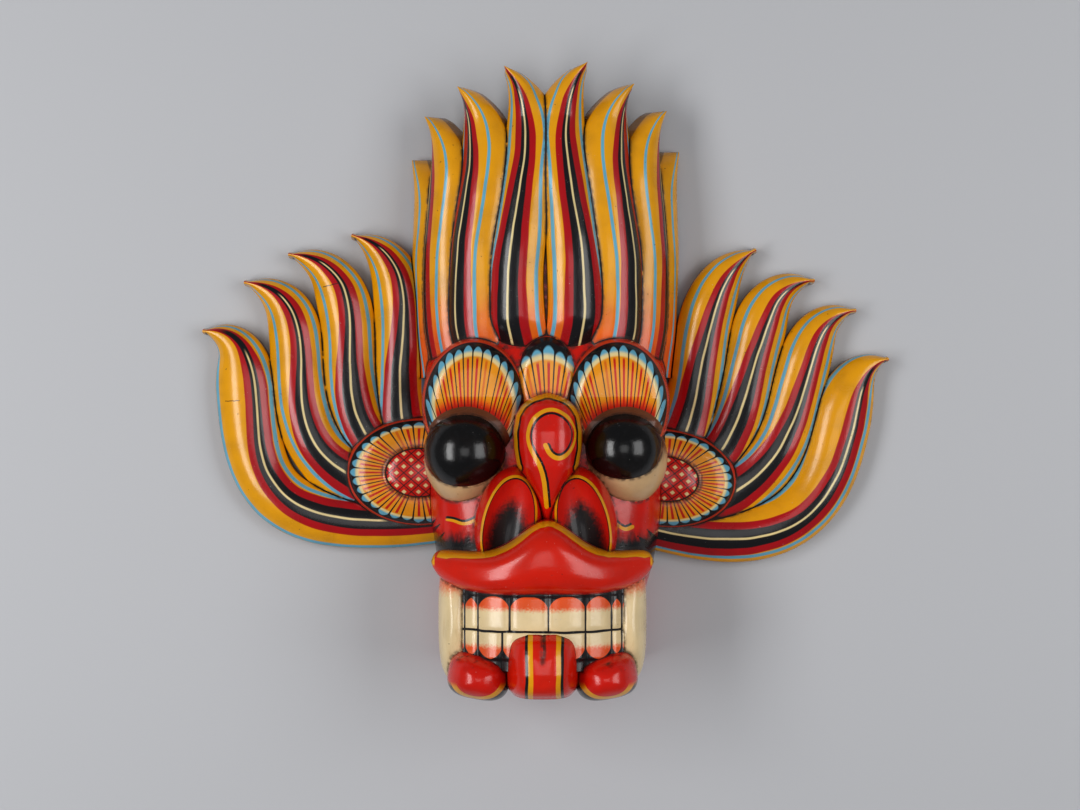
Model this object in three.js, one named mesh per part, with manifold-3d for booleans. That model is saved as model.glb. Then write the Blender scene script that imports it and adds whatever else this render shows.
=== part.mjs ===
// A carved and painted wooden demon mask, lying on its back with its face up.
// Millimetres. +X is to the viewer's right, +Y up the face towards the crown, +Z out of the face.
// Three pieces of light wood: the head block with its crown of flames, hollowed from behind, and two flat
// ear panels, each a fan of flames around a rosette, that butt against the sides of the head.
import * as THREE from "three";
import { mergeVertices } from "three/addons/utils/BufferGeometryUtils.js";
import Module from "manifold-3d";

const wasm = await Module();
wasm.setup();
const DEGREE = Math.PI / 180;

// The head block, as level slices up the face: height up the face, half width at the back, depth to the front.
const HEAD_SLICES = [
  { y: -160, halfWidth: 42, depth: 60 },
  { y: -150, halfWidth: 47, depth: 68 },
  { y: -125, halfWidth: 52, depth: 72 },
  { y: -98, halfWidth: 60, depth: 68 },
  { y: -75, halfWidth: 63.5, depth: 58 },
  { y: -40, halfWidth: 65, depth: 52 },
  { y: -5, halfWidth: 66, depth: 52 },
  { y: 25, halfWidth: 68, depth: 54 },
  { y: 70, halfWidth: 70, depth: 54 },
  { y: 105, halfWidth: 69, depth: 49 },
  { y: 119, halfWidth: 62, depth: 46 },
  { y: 131, halfWidth: 45, depth: 43 },
  { y: 140, halfWidth: 20, depth: 41 },
];
const HEAD_FIRST_Y = HEAD_SLICES[0].y;
const HEAD_LAST_Y = HEAD_SLICES[HEAD_SLICES.length - 1].y;
const FACE_SQUARENESS = 3.4; // exponent of the rounded slices through the face
const CROWN_SQUARENESS = 2; // the crown's slices are plain half ellipses
const FACE_TOP_Y = -10;
const CROWN_FOOT_Y = 35;

// The crown: pairs of flames side by side around the front, shorter towards the sides.
const CROWN_PITCH = 22.8 * DEGREE; // angle of one flame around the crown
const CROWN_TIP_Y = [168.5, 157, 142, 121.5]; // from the middle pair outwards
const CROWN_ROOT_Y = 0;
const CROWN_ROOT_LENGTH = 42; // over which a flame comes up out of the block
const CROWN_ROOT_SINK = 7;
const CROWN_BELLY_Y = 80; // where a flame swells away from the middle
const CROWN_NECK_BELOW_TIP = 25; // where it draws in again before the hooked tip
const CROWN_BELLY_TURN = 13 * DEGREE;
const CROWN_NECK_TURN = -24 * DEGREE;
const CROWN_HOOK_TURN = 6.5 * DEGREE;
const CROWN_FLAME_HALF_WIDTH = 14.5;
const CROWN_TIP_LENGTH = 42; // over which a flame narrows to its tip
const CROWN_TIP_HALF_WIDTH = 2;
const CROWN_FLAME_RISE = 5; // ridge above the head block
const CROWN_FLAME_SHOULDER = -3; // edge of the ridge, in the groove
const CROWN_FLAME_ROOTED = 16; // depth that the flame's back lies under the block's surface
const CROWN_TIP_ROOTED = 8; // and at its tip

const FLAME_TIP_FULLNESS = 2.1; // how round a flame's edges run into its tip, in the crown and in the ears

// The ears: each flame's spine runs from the rosette out and up to a hooked tip.
const EAR_TIP_LENGTH = 48;
const EAR_TIP_HALF_WIDTH = 0.9;
const EAR_FLAME_EDGE = 8; // thickness at the flame's edge
const EAR_FLAME_RIDGE = 17; // thickness along its middle
const EAR_TIP_THINNING = 0.7; // the tip's thickness as a share of that
const HEAD_GAP = 0.3; // between an ear panel and the head
const CROWN_GAP = 0.8; // between an ear panel and the crown's flames
const LEFT_EAR = {
  rosette: { x: -69.5, y: -52, halfWidth: 41.5, halfHeight: 30.4, turn: 0 },
  flames: [
    { halfWidth: 14.6, rootHalfWidth: 17, spine: [[-74, -39], [-92, -9], [-60, 64], [-107.5, 79]] },
    { halfWidth: 14.8, rootHalfWidth: 17, spine: [[-83, -45], [-132, -21], [-84, 60], [-142.5, 68.5]] },
    { halfWidth: 14.8, rootHalfWidth: 19, spine: [[-82, -63], [-175, -43], [-107, 42], [-167, 53]] },
    { halfWidth: 17.4, rootHalfWidth: 13, spine: [[-62, -79], [-219, -97], [-132, 22], [-190, 26]] },
  ],
};
const RIGHT_EAR = {
  rosette: { x: 66, y: -55.5, halfWidth: 40.5, halfHeight: 27.8, turn: -6 * DEGREE },
  flames: [
    { halfWidth: 14.6, rootHalfWidth: 17, spine: [[70, -46], [95, -6], [75, 52], [116.5, 71]] },
    { halfWidth: 14.8, rootHalfWidth: 17, spine: [[86, -50], [125, -26], [102, 55], [149, 54]] },
    { halfWidth: 14.8, rootHalfWidth: 18.5, spine: [[84, -71], [162, -51], [123, 34], [172, 37.5]] },
    { halfWidth: 17, rootHalfWidth: 14, spine: [[58, -81], [195, -115], [141, 6], [190, 10.5]] },
  ],
};
const ROSETTE_TOP = 22;
const ROSETTE_SINK = 8; // height of the widest part of the rosette's dome
const ROSETTE_BOSS_SHARE = 0.45; // the raised middle, as a share of the rosette
const ROSETTE_BOSS_TOP = 26;

// The face, each form by its middle and its half sizes across, up and out.
const BROW = { x: 37.5, y: -6, z: 40, across: 27, up: 31, out: 22 };
const FOREHEAD = { x: 0, y: 7, z: 44, across: 17, up: 19, out: 18 };
const EYE_X = 41;
const EYE_Y = -38.5;
const EYE_WHITE = { drop: 4.5, z: 40, across: 22.5, up: 24, out: 22.5 };
const EYEBALL = { z: 45, across: 20.4, up: 19, out: 22.5 };
const NOSE_BULB = { x: 1, y: -29, z: 58, across: 18.5, up: 20.5, out: 27 };
const NOSE_ROOT = { x: 1, y: -44.5, z: 58, across: 17.2, up: 18, out: 24.5 };
const NOSE_BRIDGE = { x: 1, y: -55, z: 58, across: 9, up: 26, out: 22 };
const NOSTRIL = { x: 19.5, y: -75, z: 58, across: 16.5, up: 27, out: 26, lean: 12 * DEGREE };
const NOSTRIL_HOLLOW = { x: 19.5, y: -83, z: 88, across: 13.5, up: 30, out: 16, lean: 12 * DEGREE };

// The mouth sits a little to the viewer's left of the crown's middle.
const MOUTH_X = -1.8;
const LIP_HALF_WIDTH = 58.2;
const LIP_TOP_Y = -92; // the upper edge either side of its peak
const LIP_PEAK = 17.5; // height of the peak under the nose
const LIP_PEAK_X = 2.5;
const LIP_PEAK_WIDTH = 19;
const LIP_CORNER_RISE = 2;
const LIP_BOTTOM_Y = -114;
const LIP_BOTTOM_CURL = 15; // how far the lower edge rises at the corners
const LIP_FRONT = 97;
const LIP_CORNER_FRONT = 66;
const LIP_BACK = 45;
const TOOTH_ROW_Y = [-131.5, -115, -147.5]; // the bite line, the upper gum and the lower gum
const TOOTH_GAP = 0.5;
const TOOTH_EDGES = [-41, -33.4, -16.9, 3, 22.1, 35.8, 41.3]; // across the mouth, from its middle
const TOOTH_FRONT = 87;
const TOOTH_ARCH = 15; // how far the outer teeth stand back
const TOOTH_ROOTED = 30;
const TUSK = { x: 45.5, y: -127, z: 50, across: 9.8, up: 34, out: 22 };
const LOWER_LIP = { x: 33, y: -156, z: 66, across: 16.5, up: 12.4, out: 24, lean: 10 * DEGREE };
const TONGUE_HALF_WIDTH = 20.5;
const TONGUE_SLICES = [
  { y: -132.5, width: 0.7, front: 86 },
  { y: -136, width: 0.94, front: 94 },
  { y: -143, width: 1, front: 98 },
  { y: -152, width: 1, front: 99 },
  { y: -160, width: 0.95, front: 96 },
  { y: -165.5, width: 0.85, front: 88 },
];
const TONGUE_BACK = 45;

// The hollow carved into the back of the head.
const WALL = 15;
const HOLLOW_BOTTOM_Y = -122;
const HOLLOW_TOP_Y = 92;
const CUT_PAST = 1; // how far a cut runs past the surface it opens

const lerp = THREE.MathUtils.lerp;
const smoothstep = THREE.MathUtils.smoothstep;

// A closed geometry as a solid, with its faces turned outwards.
function solid(geometry) {
  const vertProperties = geometry.attributes.position.array;
  const triVerts = new Uint32Array(geometry.index.array);
  const made = new wasm.Manifold(new wasm.Mesh({ numProp: 3, vertProperties, triVerts }));
  if (made.volume() > 0) return made;
  for (let i = 0; i < triVerts.length; i += 3) {
    [triVerts[i + 1], triVerts[i + 2]] = [triVerts[i + 2], triVerts[i + 1]];
  }
  return new wasm.Manifold(new wasm.Mesh({ numProp: 3, vertProperties, triVerts }));
}

function bare(geometry) {
  geometry.deleteAttribute("normal");
  geometry.deleteAttribute("uv");
  return mergeVertices(geometry);
}

// A closed bar whose rings are placed one by one: place(t, p, q) gives the point at t (0 to 1) along it, with
// p and q on the unit circle around it.
function bar(sides, rings, place) {
  const geometry = bare(new THREE.CylinderGeometry(1, 1, 1, sides, rings));
  const position = geometry.attributes.position;
  for (let i = 0; i < position.count; i++) {
    const point = place(0.5 - position.getY(i), position.getX(i), position.getZ(i));
    position.setXYZ(i, ...point);
  }
  return solid(geometry);
}

// An egg-shaped lump with its poles to the front and back.
function lump(form, { side = 1, across = 16, down = 10 } = {}) {
  const geometry = bare(new THREE.SphereGeometry(1, across, down));
  geometry.rotateX(Math.PI / 2);
  geometry.scale(form.across, form.up, form.out);
  geometry.rotateZ(side * (form.lean ?? 0));
  geometry.translate(side * form.x, form.y, form.z);
  return solid(geometry);
}

function joined(solids) {
  return solids.reduce((whole, piece) => whole.add(piece));
}

// Everything behind the plane that the mask lies on.
function belowFloor() {
  const size = 600;
  const box = bare(new THREE.BoxGeometry(size, size, size));
  box.translate(0, 0, -size / 2);
  return solid(box);
}

// The head block's half width, depth and squareness at a height up the face.
function headSlice(y) {
  const above = Math.max(1, HEAD_SLICES.findIndex((slice) => slice.y >= y));
  const [low, high] = [HEAD_SLICES[above - 1], HEAD_SLICES[above]];
  const share = THREE.MathUtils.clamp((y - low.y) / (high.y - low.y), 0, 1);
  return {
    halfWidth: lerp(low.halfWidth, high.halfWidth, share),
    depth: lerp(low.depth, high.depth, share),
    squareness: lerp(FACE_SQUARENESS, CROWN_SQUARENESS, smoothstep(y, FACE_TOP_Y, CROWN_FOOT_Y)),
  };
}

function rounded(value, squareness) {
  return Math.sign(value) * Math.abs(value) ** (2 / squareness);
}

// The head block without its carving: rounded slices on a flat back, grown or shrunk sideways and outwards.
function headBlock(grow, firstY, lastY, back) {
  const heights = HEAD_SLICES.map((slice) => slice.y).filter((y) => y > firstY && y < lastY);
  const rings = [firstY, ...heights, lastY];
  return bar(24, rings.length - 1, (t, p, q) => {
    const y = rings[Math.round(t * (rings.length - 1))];
    const { halfWidth, depth, squareness } = headSlice(y);
    const outer = q >= 0;
    const x = (halfWidth + grow) * (outer ? rounded(p, squareness) : p);
    return [x, y, outer ? (depth + grow) * rounded(q, squareness) : back];
  });
}

// How wide a flame is, as a share of its full width, at a distance from its tip.
function flameWidth(toTip, tipLength) {
  const start = Math.max(0, 1 - toTip / tipLength);
  return 1 - start ** FLAME_TIP_FULLNESS;
}

// A flame's section on ten sides: a rounded ridge on straight edges and a flat back.
const FLAME_SIDES = 10;
const FLAME_RINGS = 12;
const SHOULDER_SIN = Math.sin((2 * Math.PI * 2) / FLAME_SIDES);
const SHOULDER_COS = Math.cos((2 * Math.PI * 2) / FLAME_SIDES);

function flameSection(p, q, ridge, edge, back) {
  const across = THREE.MathUtils.clamp(p / SHOULDER_SIN, -1, 1);
  const rise = q > 0 ? lerp(edge, ridge, (q - SHOULDER_COS) / (1 - SHOULDER_COS)) : back;
  return { across, rise };
}

// One flame of the crown: its spine bends around the head block while it climbs.
function crownFlame(pair, side, grow) {
  const middle = (pair + 0.5) * CROWN_PITCH;
  const tipY = CROWN_TIP_Y[pair];
  const spine = new THREE.CubicBezierCurve(
    new THREE.Vector2(middle, CROWN_ROOT_Y),
    new THREE.Vector2(middle + CROWN_BELLY_TURN, CROWN_BELLY_Y),
    new THREE.Vector2(middle + CROWN_NECK_TURN, tipY - CROWN_NECK_BELOW_TIP),
    new THREE.Vector2(middle + CROWN_HOOK_TURN, tipY),
  );
  return bar(FLAME_SIDES, FLAME_RINGS, (t, p, q) => {
    const { x: angle, y } = spine.getPoint(t);
    const { halfWidth, depth } = headSlice(Math.min(y, CROWN_BELLY_Y));
    const slope = headSlice(Math.min(y, HEAD_LAST_Y)).depth / depth;
    const out = new THREE.Vector2(Math.sin(angle) / halfWidth, Math.cos(angle) / depth).normalize();
    const width = flameWidth(tipY - y, CROWN_TIP_LENGTH);
    const half = Math.max(CROWN_TIP_HALF_WIDTH, CROWN_FLAME_HALF_WIDTH * width) + grow;
    const rooted = lerp(CROWN_TIP_ROOTED, CROWN_FLAME_ROOTED, width);
    const sunk = CROWN_ROOT_SINK * (1 - smoothstep(y, CROWN_ROOT_Y, CROWN_ROOT_Y + CROWN_ROOT_LENGTH));
    const section = flameSection(p, q, CROWN_FLAME_RISE, CROWN_FLAME_SHOULDER, -rooted);
    const rise = section.rise - sunk + grow;
    const x = halfWidth * Math.sin(angle) + half * section.across * out.y + rise * out.x;
    const z = depth * slope * Math.cos(angle) - half * section.across * out.x + rise * out.y;
    return [side * x, y, z];
  });
}

function crownFlames(grow = 0) {
  return CROWN_TIP_Y.flatMap((_, pair) => [-1, 1].map((side) => crownFlame(pair, side, grow)));
}

// One flame of an ear panel, flat on the back.
function earFlame({ halfWidth, rootHalfWidth, spine }) {
  const curve = new THREE.CubicBezierCurve(...spine.map(([x, y]) => new THREE.Vector2(x, y)));
  const length = curve.getLength();
  return bar(FLAME_SIDES, FLAME_RINGS, (t, p, q) => {
    const along = curve.getPointAt(t);
    const heading = curve.getTangentAt(t);
    const width = flameWidth(length * (1 - t), EAR_TIP_LENGTH);
    const half = Math.max(EAR_TIP_HALF_WIDTH, width * lerp(halfWidth, rootHalfWidth, (1 - t) ** 2));
    const thick = lerp(EAR_TIP_THINNING, 1, width);
    const { across, rise } = flameSection(p, q, EAR_FLAME_RIDGE * thick, EAR_FLAME_EDGE * thick, 0);
    return [along.x + half * across * heading.y, along.y - half * across * heading.x, rise];
  });
}

function rosette({ x, y, halfWidth, halfHeight, turn }) {
  const dome = { x, y, z: ROSETTE_SINK, lean: turn, across: halfWidth, up: halfHeight };
  const boss = { ...dome, across: halfWidth * ROSETTE_BOSS_SHARE, up: halfHeight * ROSETTE_BOSS_SHARE };
  return lump({ ...dome, out: ROSETTE_TOP - ROSETTE_SINK }, { across: 20, down: 8 }).add(
    lump({ ...boss, out: ROSETTE_BOSS_TOP - ROSETTE_SINK }, { across: 14, down: 8 }),
  );
}

// An ear panel, cut to the side of the head so that it butts against the block and clears the crown's flames.
function earPanel(ear) {
  const carved = joined([rosette(ear.rosette), ...ear.flames.map(earFlame)]);
  return carved
    .subtract(belowFloor())
    .subtract(headBlock(HEAD_GAP, HEAD_FIRST_Y, HEAD_LAST_Y, -CUT_PAST))
    .subtract(joined(crownFlames(CROWN_GAP)));
}

// The upper lip: a full, wide roll with a peak under the nose, its ends drawn back along the cheeks.
function upperLip() {
  const rings = 16;
  return bar(14, rings, (t, p, q) => {
    const share = Math.sin((t - 0.5) * Math.PI);
    const x = share * LIP_HALF_WIDTH;
    const peak = LIP_PEAK * Math.exp(-(((x - LIP_PEAK_X) / LIP_PEAK_WIDTH) ** 2));
    const top = LIP_TOP_Y + peak + LIP_CORNER_RISE * share ** 4;
    const bottom = LIP_BOTTOM_Y + LIP_BOTTOM_CURL * share ** 4;
    const front = lerp(LIP_FRONT, LIP_CORNER_FRONT, share ** 2);
    const end = Math.max(0.7, Math.sqrt(1 - share ** 2) ** 0.3);
    const y = (top + bottom) / 2 + (end * rounded(p, 2.6) * (top - bottom)) / 2;
    const z = (front + LIP_BACK) / 2 + (rounded(q, 2.6) * (front - LIP_BACK)) / 2;
    return [MOUTH_X + x, y, z];
  });
}

function tooth(left, right, gumY) {
  const [biteY] = TOOTH_ROW_Y;
  const middle = (left + right) / 2;
  const half = (right - left) / 2 - TOOTH_GAP / 2;
  const front = TOOTH_FRONT - TOOTH_ARCH * (middle / TOOTH_EDGES[0]) ** 2;
  const turn = (2 * TOOTH_ARCH * middle) / TOOTH_EDGES[0] ** 2; // the arch's slope
  return bar(8, 2, (t, p, q) => {
    const y = lerp(Math.sign(gumY - biteY) * (TOOTH_GAP / 2) + biteY, gumY, t);
    const across = rounded(p, 3.2) * half;
    const z = q > 0 ? front - 3 * (1 - rounded(q, 2)) : front - TOOTH_ROOTED;
    return [MOUTH_X + middle + across, y, z - turn * across];
  });
}

function teeth() {
  const [, ...gums] = TOOTH_ROW_Y;
  return gums.flatMap((gumY) => TOOTH_EDGES.slice(1).map((right, i) => tooth(TOOTH_EDGES[i], right, gumY)));
}

function tongue() {
  const rings = TONGUE_SLICES.length - 1;
  return bar(14, rings, (t, p, q) => {
    const { y, width, front } = TONGUE_SLICES[Math.round(t * rings)];
    const x = TONGUE_HALF_WIDTH * width * rounded(p, 3);
    return [MOUTH_X + x, y, q >= 0 ? lerp(TONGUE_BACK, front, rounded(q, 3)) : TONGUE_BACK];
  });
}

// The forms either side of the face's middle line, as left and right copies.
function bothSides(form, detail) {
  return [-1, 1].map((side) => lump(form, { side, ...detail }));
}

function shiftedToMouth(form) {
  return [-1, 1].map((side) => lump({ ...form, x: form.x + side * MOUTH_X }, { side, across: 14, down: 10 }));
}

function head() {
  const eyeWhite = { ...EYE_WHITE, x: EYE_X, y: EYE_Y - EYE_WHITE.drop };
  const eyeball = { ...EYEBALL, x: EYE_X, y: EYE_Y };
  const carved = joined([
    headBlock(0, HEAD_FIRST_Y, HEAD_LAST_Y, 0),
    ...crownFlames(),
    ...bothSides(BROW),
    lump(FOREHEAD, { across: 14, down: 8 }),
    ...bothSides(eyeWhite),
    ...bothSides(eyeball, { across: 18, down: 12 }),
    lump(NOSE_BULB),
    lump(NOSE_ROOT, { across: 12 }),
    lump(NOSE_BRIDGE, { across: 12 }),
    ...bothSides(NOSTRIL),
  ]);
  const hollows = bothSides(NOSTRIL_HOLLOW, { across: 14 });
  const mouth = [upperLip(), ...teeth(), ...shiftedToMouth(TUSK), ...shiftedToMouth(LOWER_LIP), tongue()];
  return joined([carved.subtract(joined(hollows)), ...mouth])
    .subtract(headBlock(-WALL, HOLLOW_BOTTOM_Y, HOLLOW_TOP_Y, -CUT_PAST))
    .subtract(belowFloor());
}

const PAINT = { roughness: 0.25, metalness: 0 };
const RED_PAINT = new THREE.MeshStandardMaterial({ color: 0xbf2410, ...PAINT });
const YELLOW_PAINT = new THREE.MeshStandardMaterial({ color: 0xd29a1c, ...PAINT });

function piece(name, carved, material) {
  const { numProp, numVert, vertProperties, triVerts } = carved.getMesh();
  const points = new Float32Array(numVert * 3);
  for (let i = 0; i < numVert; i++) points.set(vertProperties.subarray(i * numProp, i * numProp + 3), i * 3);
  const geometry = new THREE.BufferGeometry();
  geometry.setAttribute("position", new THREE.BufferAttribute(points, 3));
  geometry.setIndex(new THREE.BufferAttribute(triVerts, 1));
  geometry.computeVertexNormals();
  const mesh = new THREE.Mesh(geometry, material);
  mesh.name = name;
  return mesh;
}

const mask = new THREE.Group();
mask.add(piece("head", head(), RED_PAINT));
mask.add(piece("left_ear_flames", earPanel(LEFT_EAR), YELLOW_PAINT));
mask.add(piece("right_ear_flames", earPanel(RIGHT_EAR), YELLOW_PAINT));

export default mask;
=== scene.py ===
# %% [markdown]
# # A carved and painted demon mask
# The real mask is three pieces of light wood: a hollowed head with a crown of flames, and two flat ear
# panels that butt against its sides. All of it is brushed with glossy enamel. The solids already give the
# right sizes, so each of them is carved again here, finer, and painted. Shapes are written in millimetres,
# with +X to the viewer's right, +Y up the face and +Z out of it, and become metres when a mesh is made.

# %% Load the frame
import math

import bmesh
import bpy
import numpy as np
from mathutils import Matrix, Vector
from mathutils.bvhtree import BVHTree
from mathutils.kdtree import KDTree


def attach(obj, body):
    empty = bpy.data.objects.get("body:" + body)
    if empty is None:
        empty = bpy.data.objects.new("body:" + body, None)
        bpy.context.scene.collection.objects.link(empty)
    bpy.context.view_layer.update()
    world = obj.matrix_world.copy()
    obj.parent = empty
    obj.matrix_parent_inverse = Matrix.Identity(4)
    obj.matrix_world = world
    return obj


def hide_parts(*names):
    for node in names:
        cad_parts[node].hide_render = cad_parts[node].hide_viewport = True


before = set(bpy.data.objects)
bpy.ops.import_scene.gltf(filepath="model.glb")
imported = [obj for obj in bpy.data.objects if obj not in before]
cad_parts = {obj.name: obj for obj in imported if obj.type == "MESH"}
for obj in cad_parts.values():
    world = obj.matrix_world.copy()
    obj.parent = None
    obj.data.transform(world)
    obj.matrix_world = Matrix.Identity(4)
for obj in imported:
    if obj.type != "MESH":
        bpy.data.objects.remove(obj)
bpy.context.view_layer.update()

MM = 0.001

# %% [markdown]
# ## Camera
# The mask lies on its back and the picture looks straight down on it. A camera with no turn looks along -Z
# with +Y up the picture, so it only has to hang at the right place. The lens follows from how much floor
# one pixel of the photograph covers.

# %% Hang the camera over the mask
CAMERA_HEIGHT = 1000
CAMERA_X = -3.1
CAMERA_Y = -15
FLOOR_PER_PIXEL = 0.56
PHOTO_WIDTH = 1080

bpy.ops.object.select_all(action="DESELECT")
bpy.ops.object.camera_add(location=(CAMERA_X * MM, CAMERA_Y * MM, CAMERA_HEIGHT * MM), rotation=(0, 0, 0))
camera = bpy.context.object
camera.data.lens = camera.data.sensor_width * CAMERA_HEIGHT / (FLOOR_PER_PIXEL * PHOTO_WIDTH)
bpy.context.scene.camera = camera
print("lens in mm:", round(camera.data.lens, 2))

# %% [markdown]
# ## Light
# The highlights on the black eyes are a map of the studio: a narrow softbox to the left, a wider one to the
# right, both about 45 degrees up, and something dim overhead. Area lights of those shapes give the same
# highlights. A pale world fills the shadows. The plain view transform, with a look of a little more
# contrast, keeps the enamel as strong as it is.

# %% Set up the softboxes and the world
LIGHT_AIM = Vector((0, -0.01, 0.04))
SOFTBOXES = {
    "left_softbox": {"place": (-0.92, -0.02, 0.98), "size": (1.1, 0.42), "watts": 9.2},
    "right_softbox": {"place": (0.95, 0.02, 1.0), "size": (1.0, 0.7), "watts": 7},
    "overhead_fill": {"place": (0.0, -0.05, 1.7), "size": (0.7, 0.7), "watts": 2.2},
}
WORLD_GREY = (0.80, 0.81, 0.84, 1)
WORLD_STRENGTH = 0.22


def softbox(name, place, size, watts):
    bpy.ops.object.light_add(type="AREA", location=place)
    lamp = bpy.context.object
    lamp.name = name
    lamp.data.shape = "RECTANGLE"
    lamp.data.size, lamp.data.size_y = size
    lamp.data.energy = watts
    lamp.rotation_euler = (LIGHT_AIM - Vector(place)).to_track_quat("-Z", "Y").to_euler()
    return lamp


lamps = [softbox(name, **facts) for name, facts in SOFTBOXES.items()]
world = bpy.data.worlds.new("studio")
world.use_nodes = True
world.node_tree.nodes["Background"].inputs["Color"].default_value = WORLD_GREY
world.node_tree.nodes["Background"].inputs["Strength"].default_value = WORLD_STRENGTH
bpy.context.scene.world = world
bpy.context.scene.view_settings.view_transform = "Standard"
bpy.context.scene.view_settings.look = "Medium High Contrast"
print("lamps:", [lamp.name for lamp in lamps])

# %% [markdown]
# ## Shader maths
# A painted pattern is a long sum. Wrapping a socket in a small class lets such a sum be written as ordinary
# Python: every operator adds the Math node that it stands for. One method adds any other node.


# %% A socket that can be calculated with
class Socket:
    """A socket in a material's nodes. Operators on it add Math nodes to that material."""

    def __init__(self, tree, socket=None):
        self.tree = tree
        self.socket = socket

    def add(self, kind, settings=None, inputs=None, output=0):
        """A new node: its settings are set first, then the values or links of its inputs."""
        node = self.tree.nodes.new("ShaderNode" + kind)
        for key, value in (settings or {}).items():
            setattr(node, key, value)
        for key, value in (inputs or {}).items():
            if isinstance(value, Socket):
                self.tree.links.new(value.socket, node.inputs[key])
            else:
                node.inputs[key].default_value = value
        return Socket(self.tree, node.outputs[output])

    def maths(self, operation, *values):
        return self.add("Math", {"operation": operation}, dict(enumerate(values)))

    def __add__(self, other):
        return self.maths("ADD", self, other)

    def __radd__(self, other):
        return self.maths("ADD", other, self)

    def __sub__(self, other):
        return self.maths("SUBTRACT", self, other)

    def __rsub__(self, other):
        return self.maths("SUBTRACT", other, self)

    def __mul__(self, other):
        return self.maths("MULTIPLY", self, other)

    def __rmul__(self, other):
        return self.maths("MULTIPLY", other, self)

    def __truediv__(self, other):
        return self.maths("DIVIDE", self, other)

    def __pow__(self, other):
        return self.maths("POWER", self, other)

    def __abs__(self):
        return self.maths("ABSOLUTE", self)

    def rise(self, low, high):
        """0 below low and 1 above high, smooth between them. With low above high it falls instead."""
        if low > high:
            return 1 - self.rise(high, low)
        inputs = {"Value": self, "From Min": low, "From Max": high}
        return self.add("MapRange", {"interpolation_type": "SMOOTHSTEP"}, inputs)

    def xyz(self):
        return [self.add("SeparateXYZ", inputs={0: self}, output=axis) for axis in range(3)]

    def stretched(self, *factors):
        return self.add("VectorMath", {"operation": "MULTIPLY"}, {0: self, 1: factors})

    def noise(self, size, detail):
        """Noise whose lumps are about this many millimetres across."""
        return self.add("TexNoise", inputs={"Vector": self, "Scale": 1 / size, "Detail": detail})

    def attribute(self, name):
        return self.add("Attribute", {"attribute_name": name}, output="Fac")


def mix(share, first, second):
    """The first colour, turning into the second as share goes from 0 to 1."""
    tool = next(value for value in (share, first, second) if isinstance(value, Socket))
    inputs = {0: share, 6: first, 7: second}
    return tool.add("Mix", {"data_type": "RGBA"}, inputs, output=2)


def srgb(red, green, blue):
    """A colour as it reads on a screen, from 0 to 255, as the linear colour that a shader takes."""
    screen = np.array([red, green, blue]) / 255
    linear = np.where(screen <= 0.04045, screen / 12.92, ((screen + 0.055) / 1.055) ** 2.4)
    return (*map(float, linear), 1.0)


print("shader maths ready")

# %% [markdown]
# ## Enamel
# Every painted surface is the same gloss enamel over wood, so one function finishes them all: the pattern
# comes in as a colour, and it adds what the brush and the years did: slight unevenness of tone, brush marks
# and wood grain that stand up as bump, and pin holes. It also darkens the grooves in patches: painted shade.

# %% The colours in the pots and the finish of the enamel
YELLOW = srgb(226, 160, 16)
ORANGE = srgb(228, 98, 22)
CRIMSON = srgb(172, 16, 26)
RED = srgb(203, 28, 12)
LIP_RED = srgb(208, 34, 8)
RIM_RED = srgb(205, 66, 36)
BLACK = srgb(24, 24, 27)
CREAM = srgb(226, 206, 150)
BLUE = srgb(106, 172, 196)
PETAL_YELLOW = srgb(228, 150, 24)
PETAL_RED = srgb(190, 34, 18)
TOOTH = srgb(226, 204, 160)
EYE_CREAM = srgb(204, 172, 130)
# A brown for the shade under the brows, on the brow round the eye and on the top of the eye white: painted
# shade.
EYE_SHADE_BROWN = srgb(112, 66, 42)
# A darker ochre for the side walls of the flames and the top of the block under them: painted shade.
SIDE_SHADE_OCHRE = srgb(150, 104, 26)
# A dark brown for pin holes, cracks and uneven tone, and for the painted shade in grooves.
DIRT_AND_SHADE = srgb(40, 26, 20)
DUST = srgb(190, 188, 182)
WOOD = srgb(176, 132, 88)
WOOD_DARK = srgb(128, 88, 54)
BRUSH_MARK_HEIGHT = 0.25
BRUSH_MARK_STRENGTH = 0.5


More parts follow.
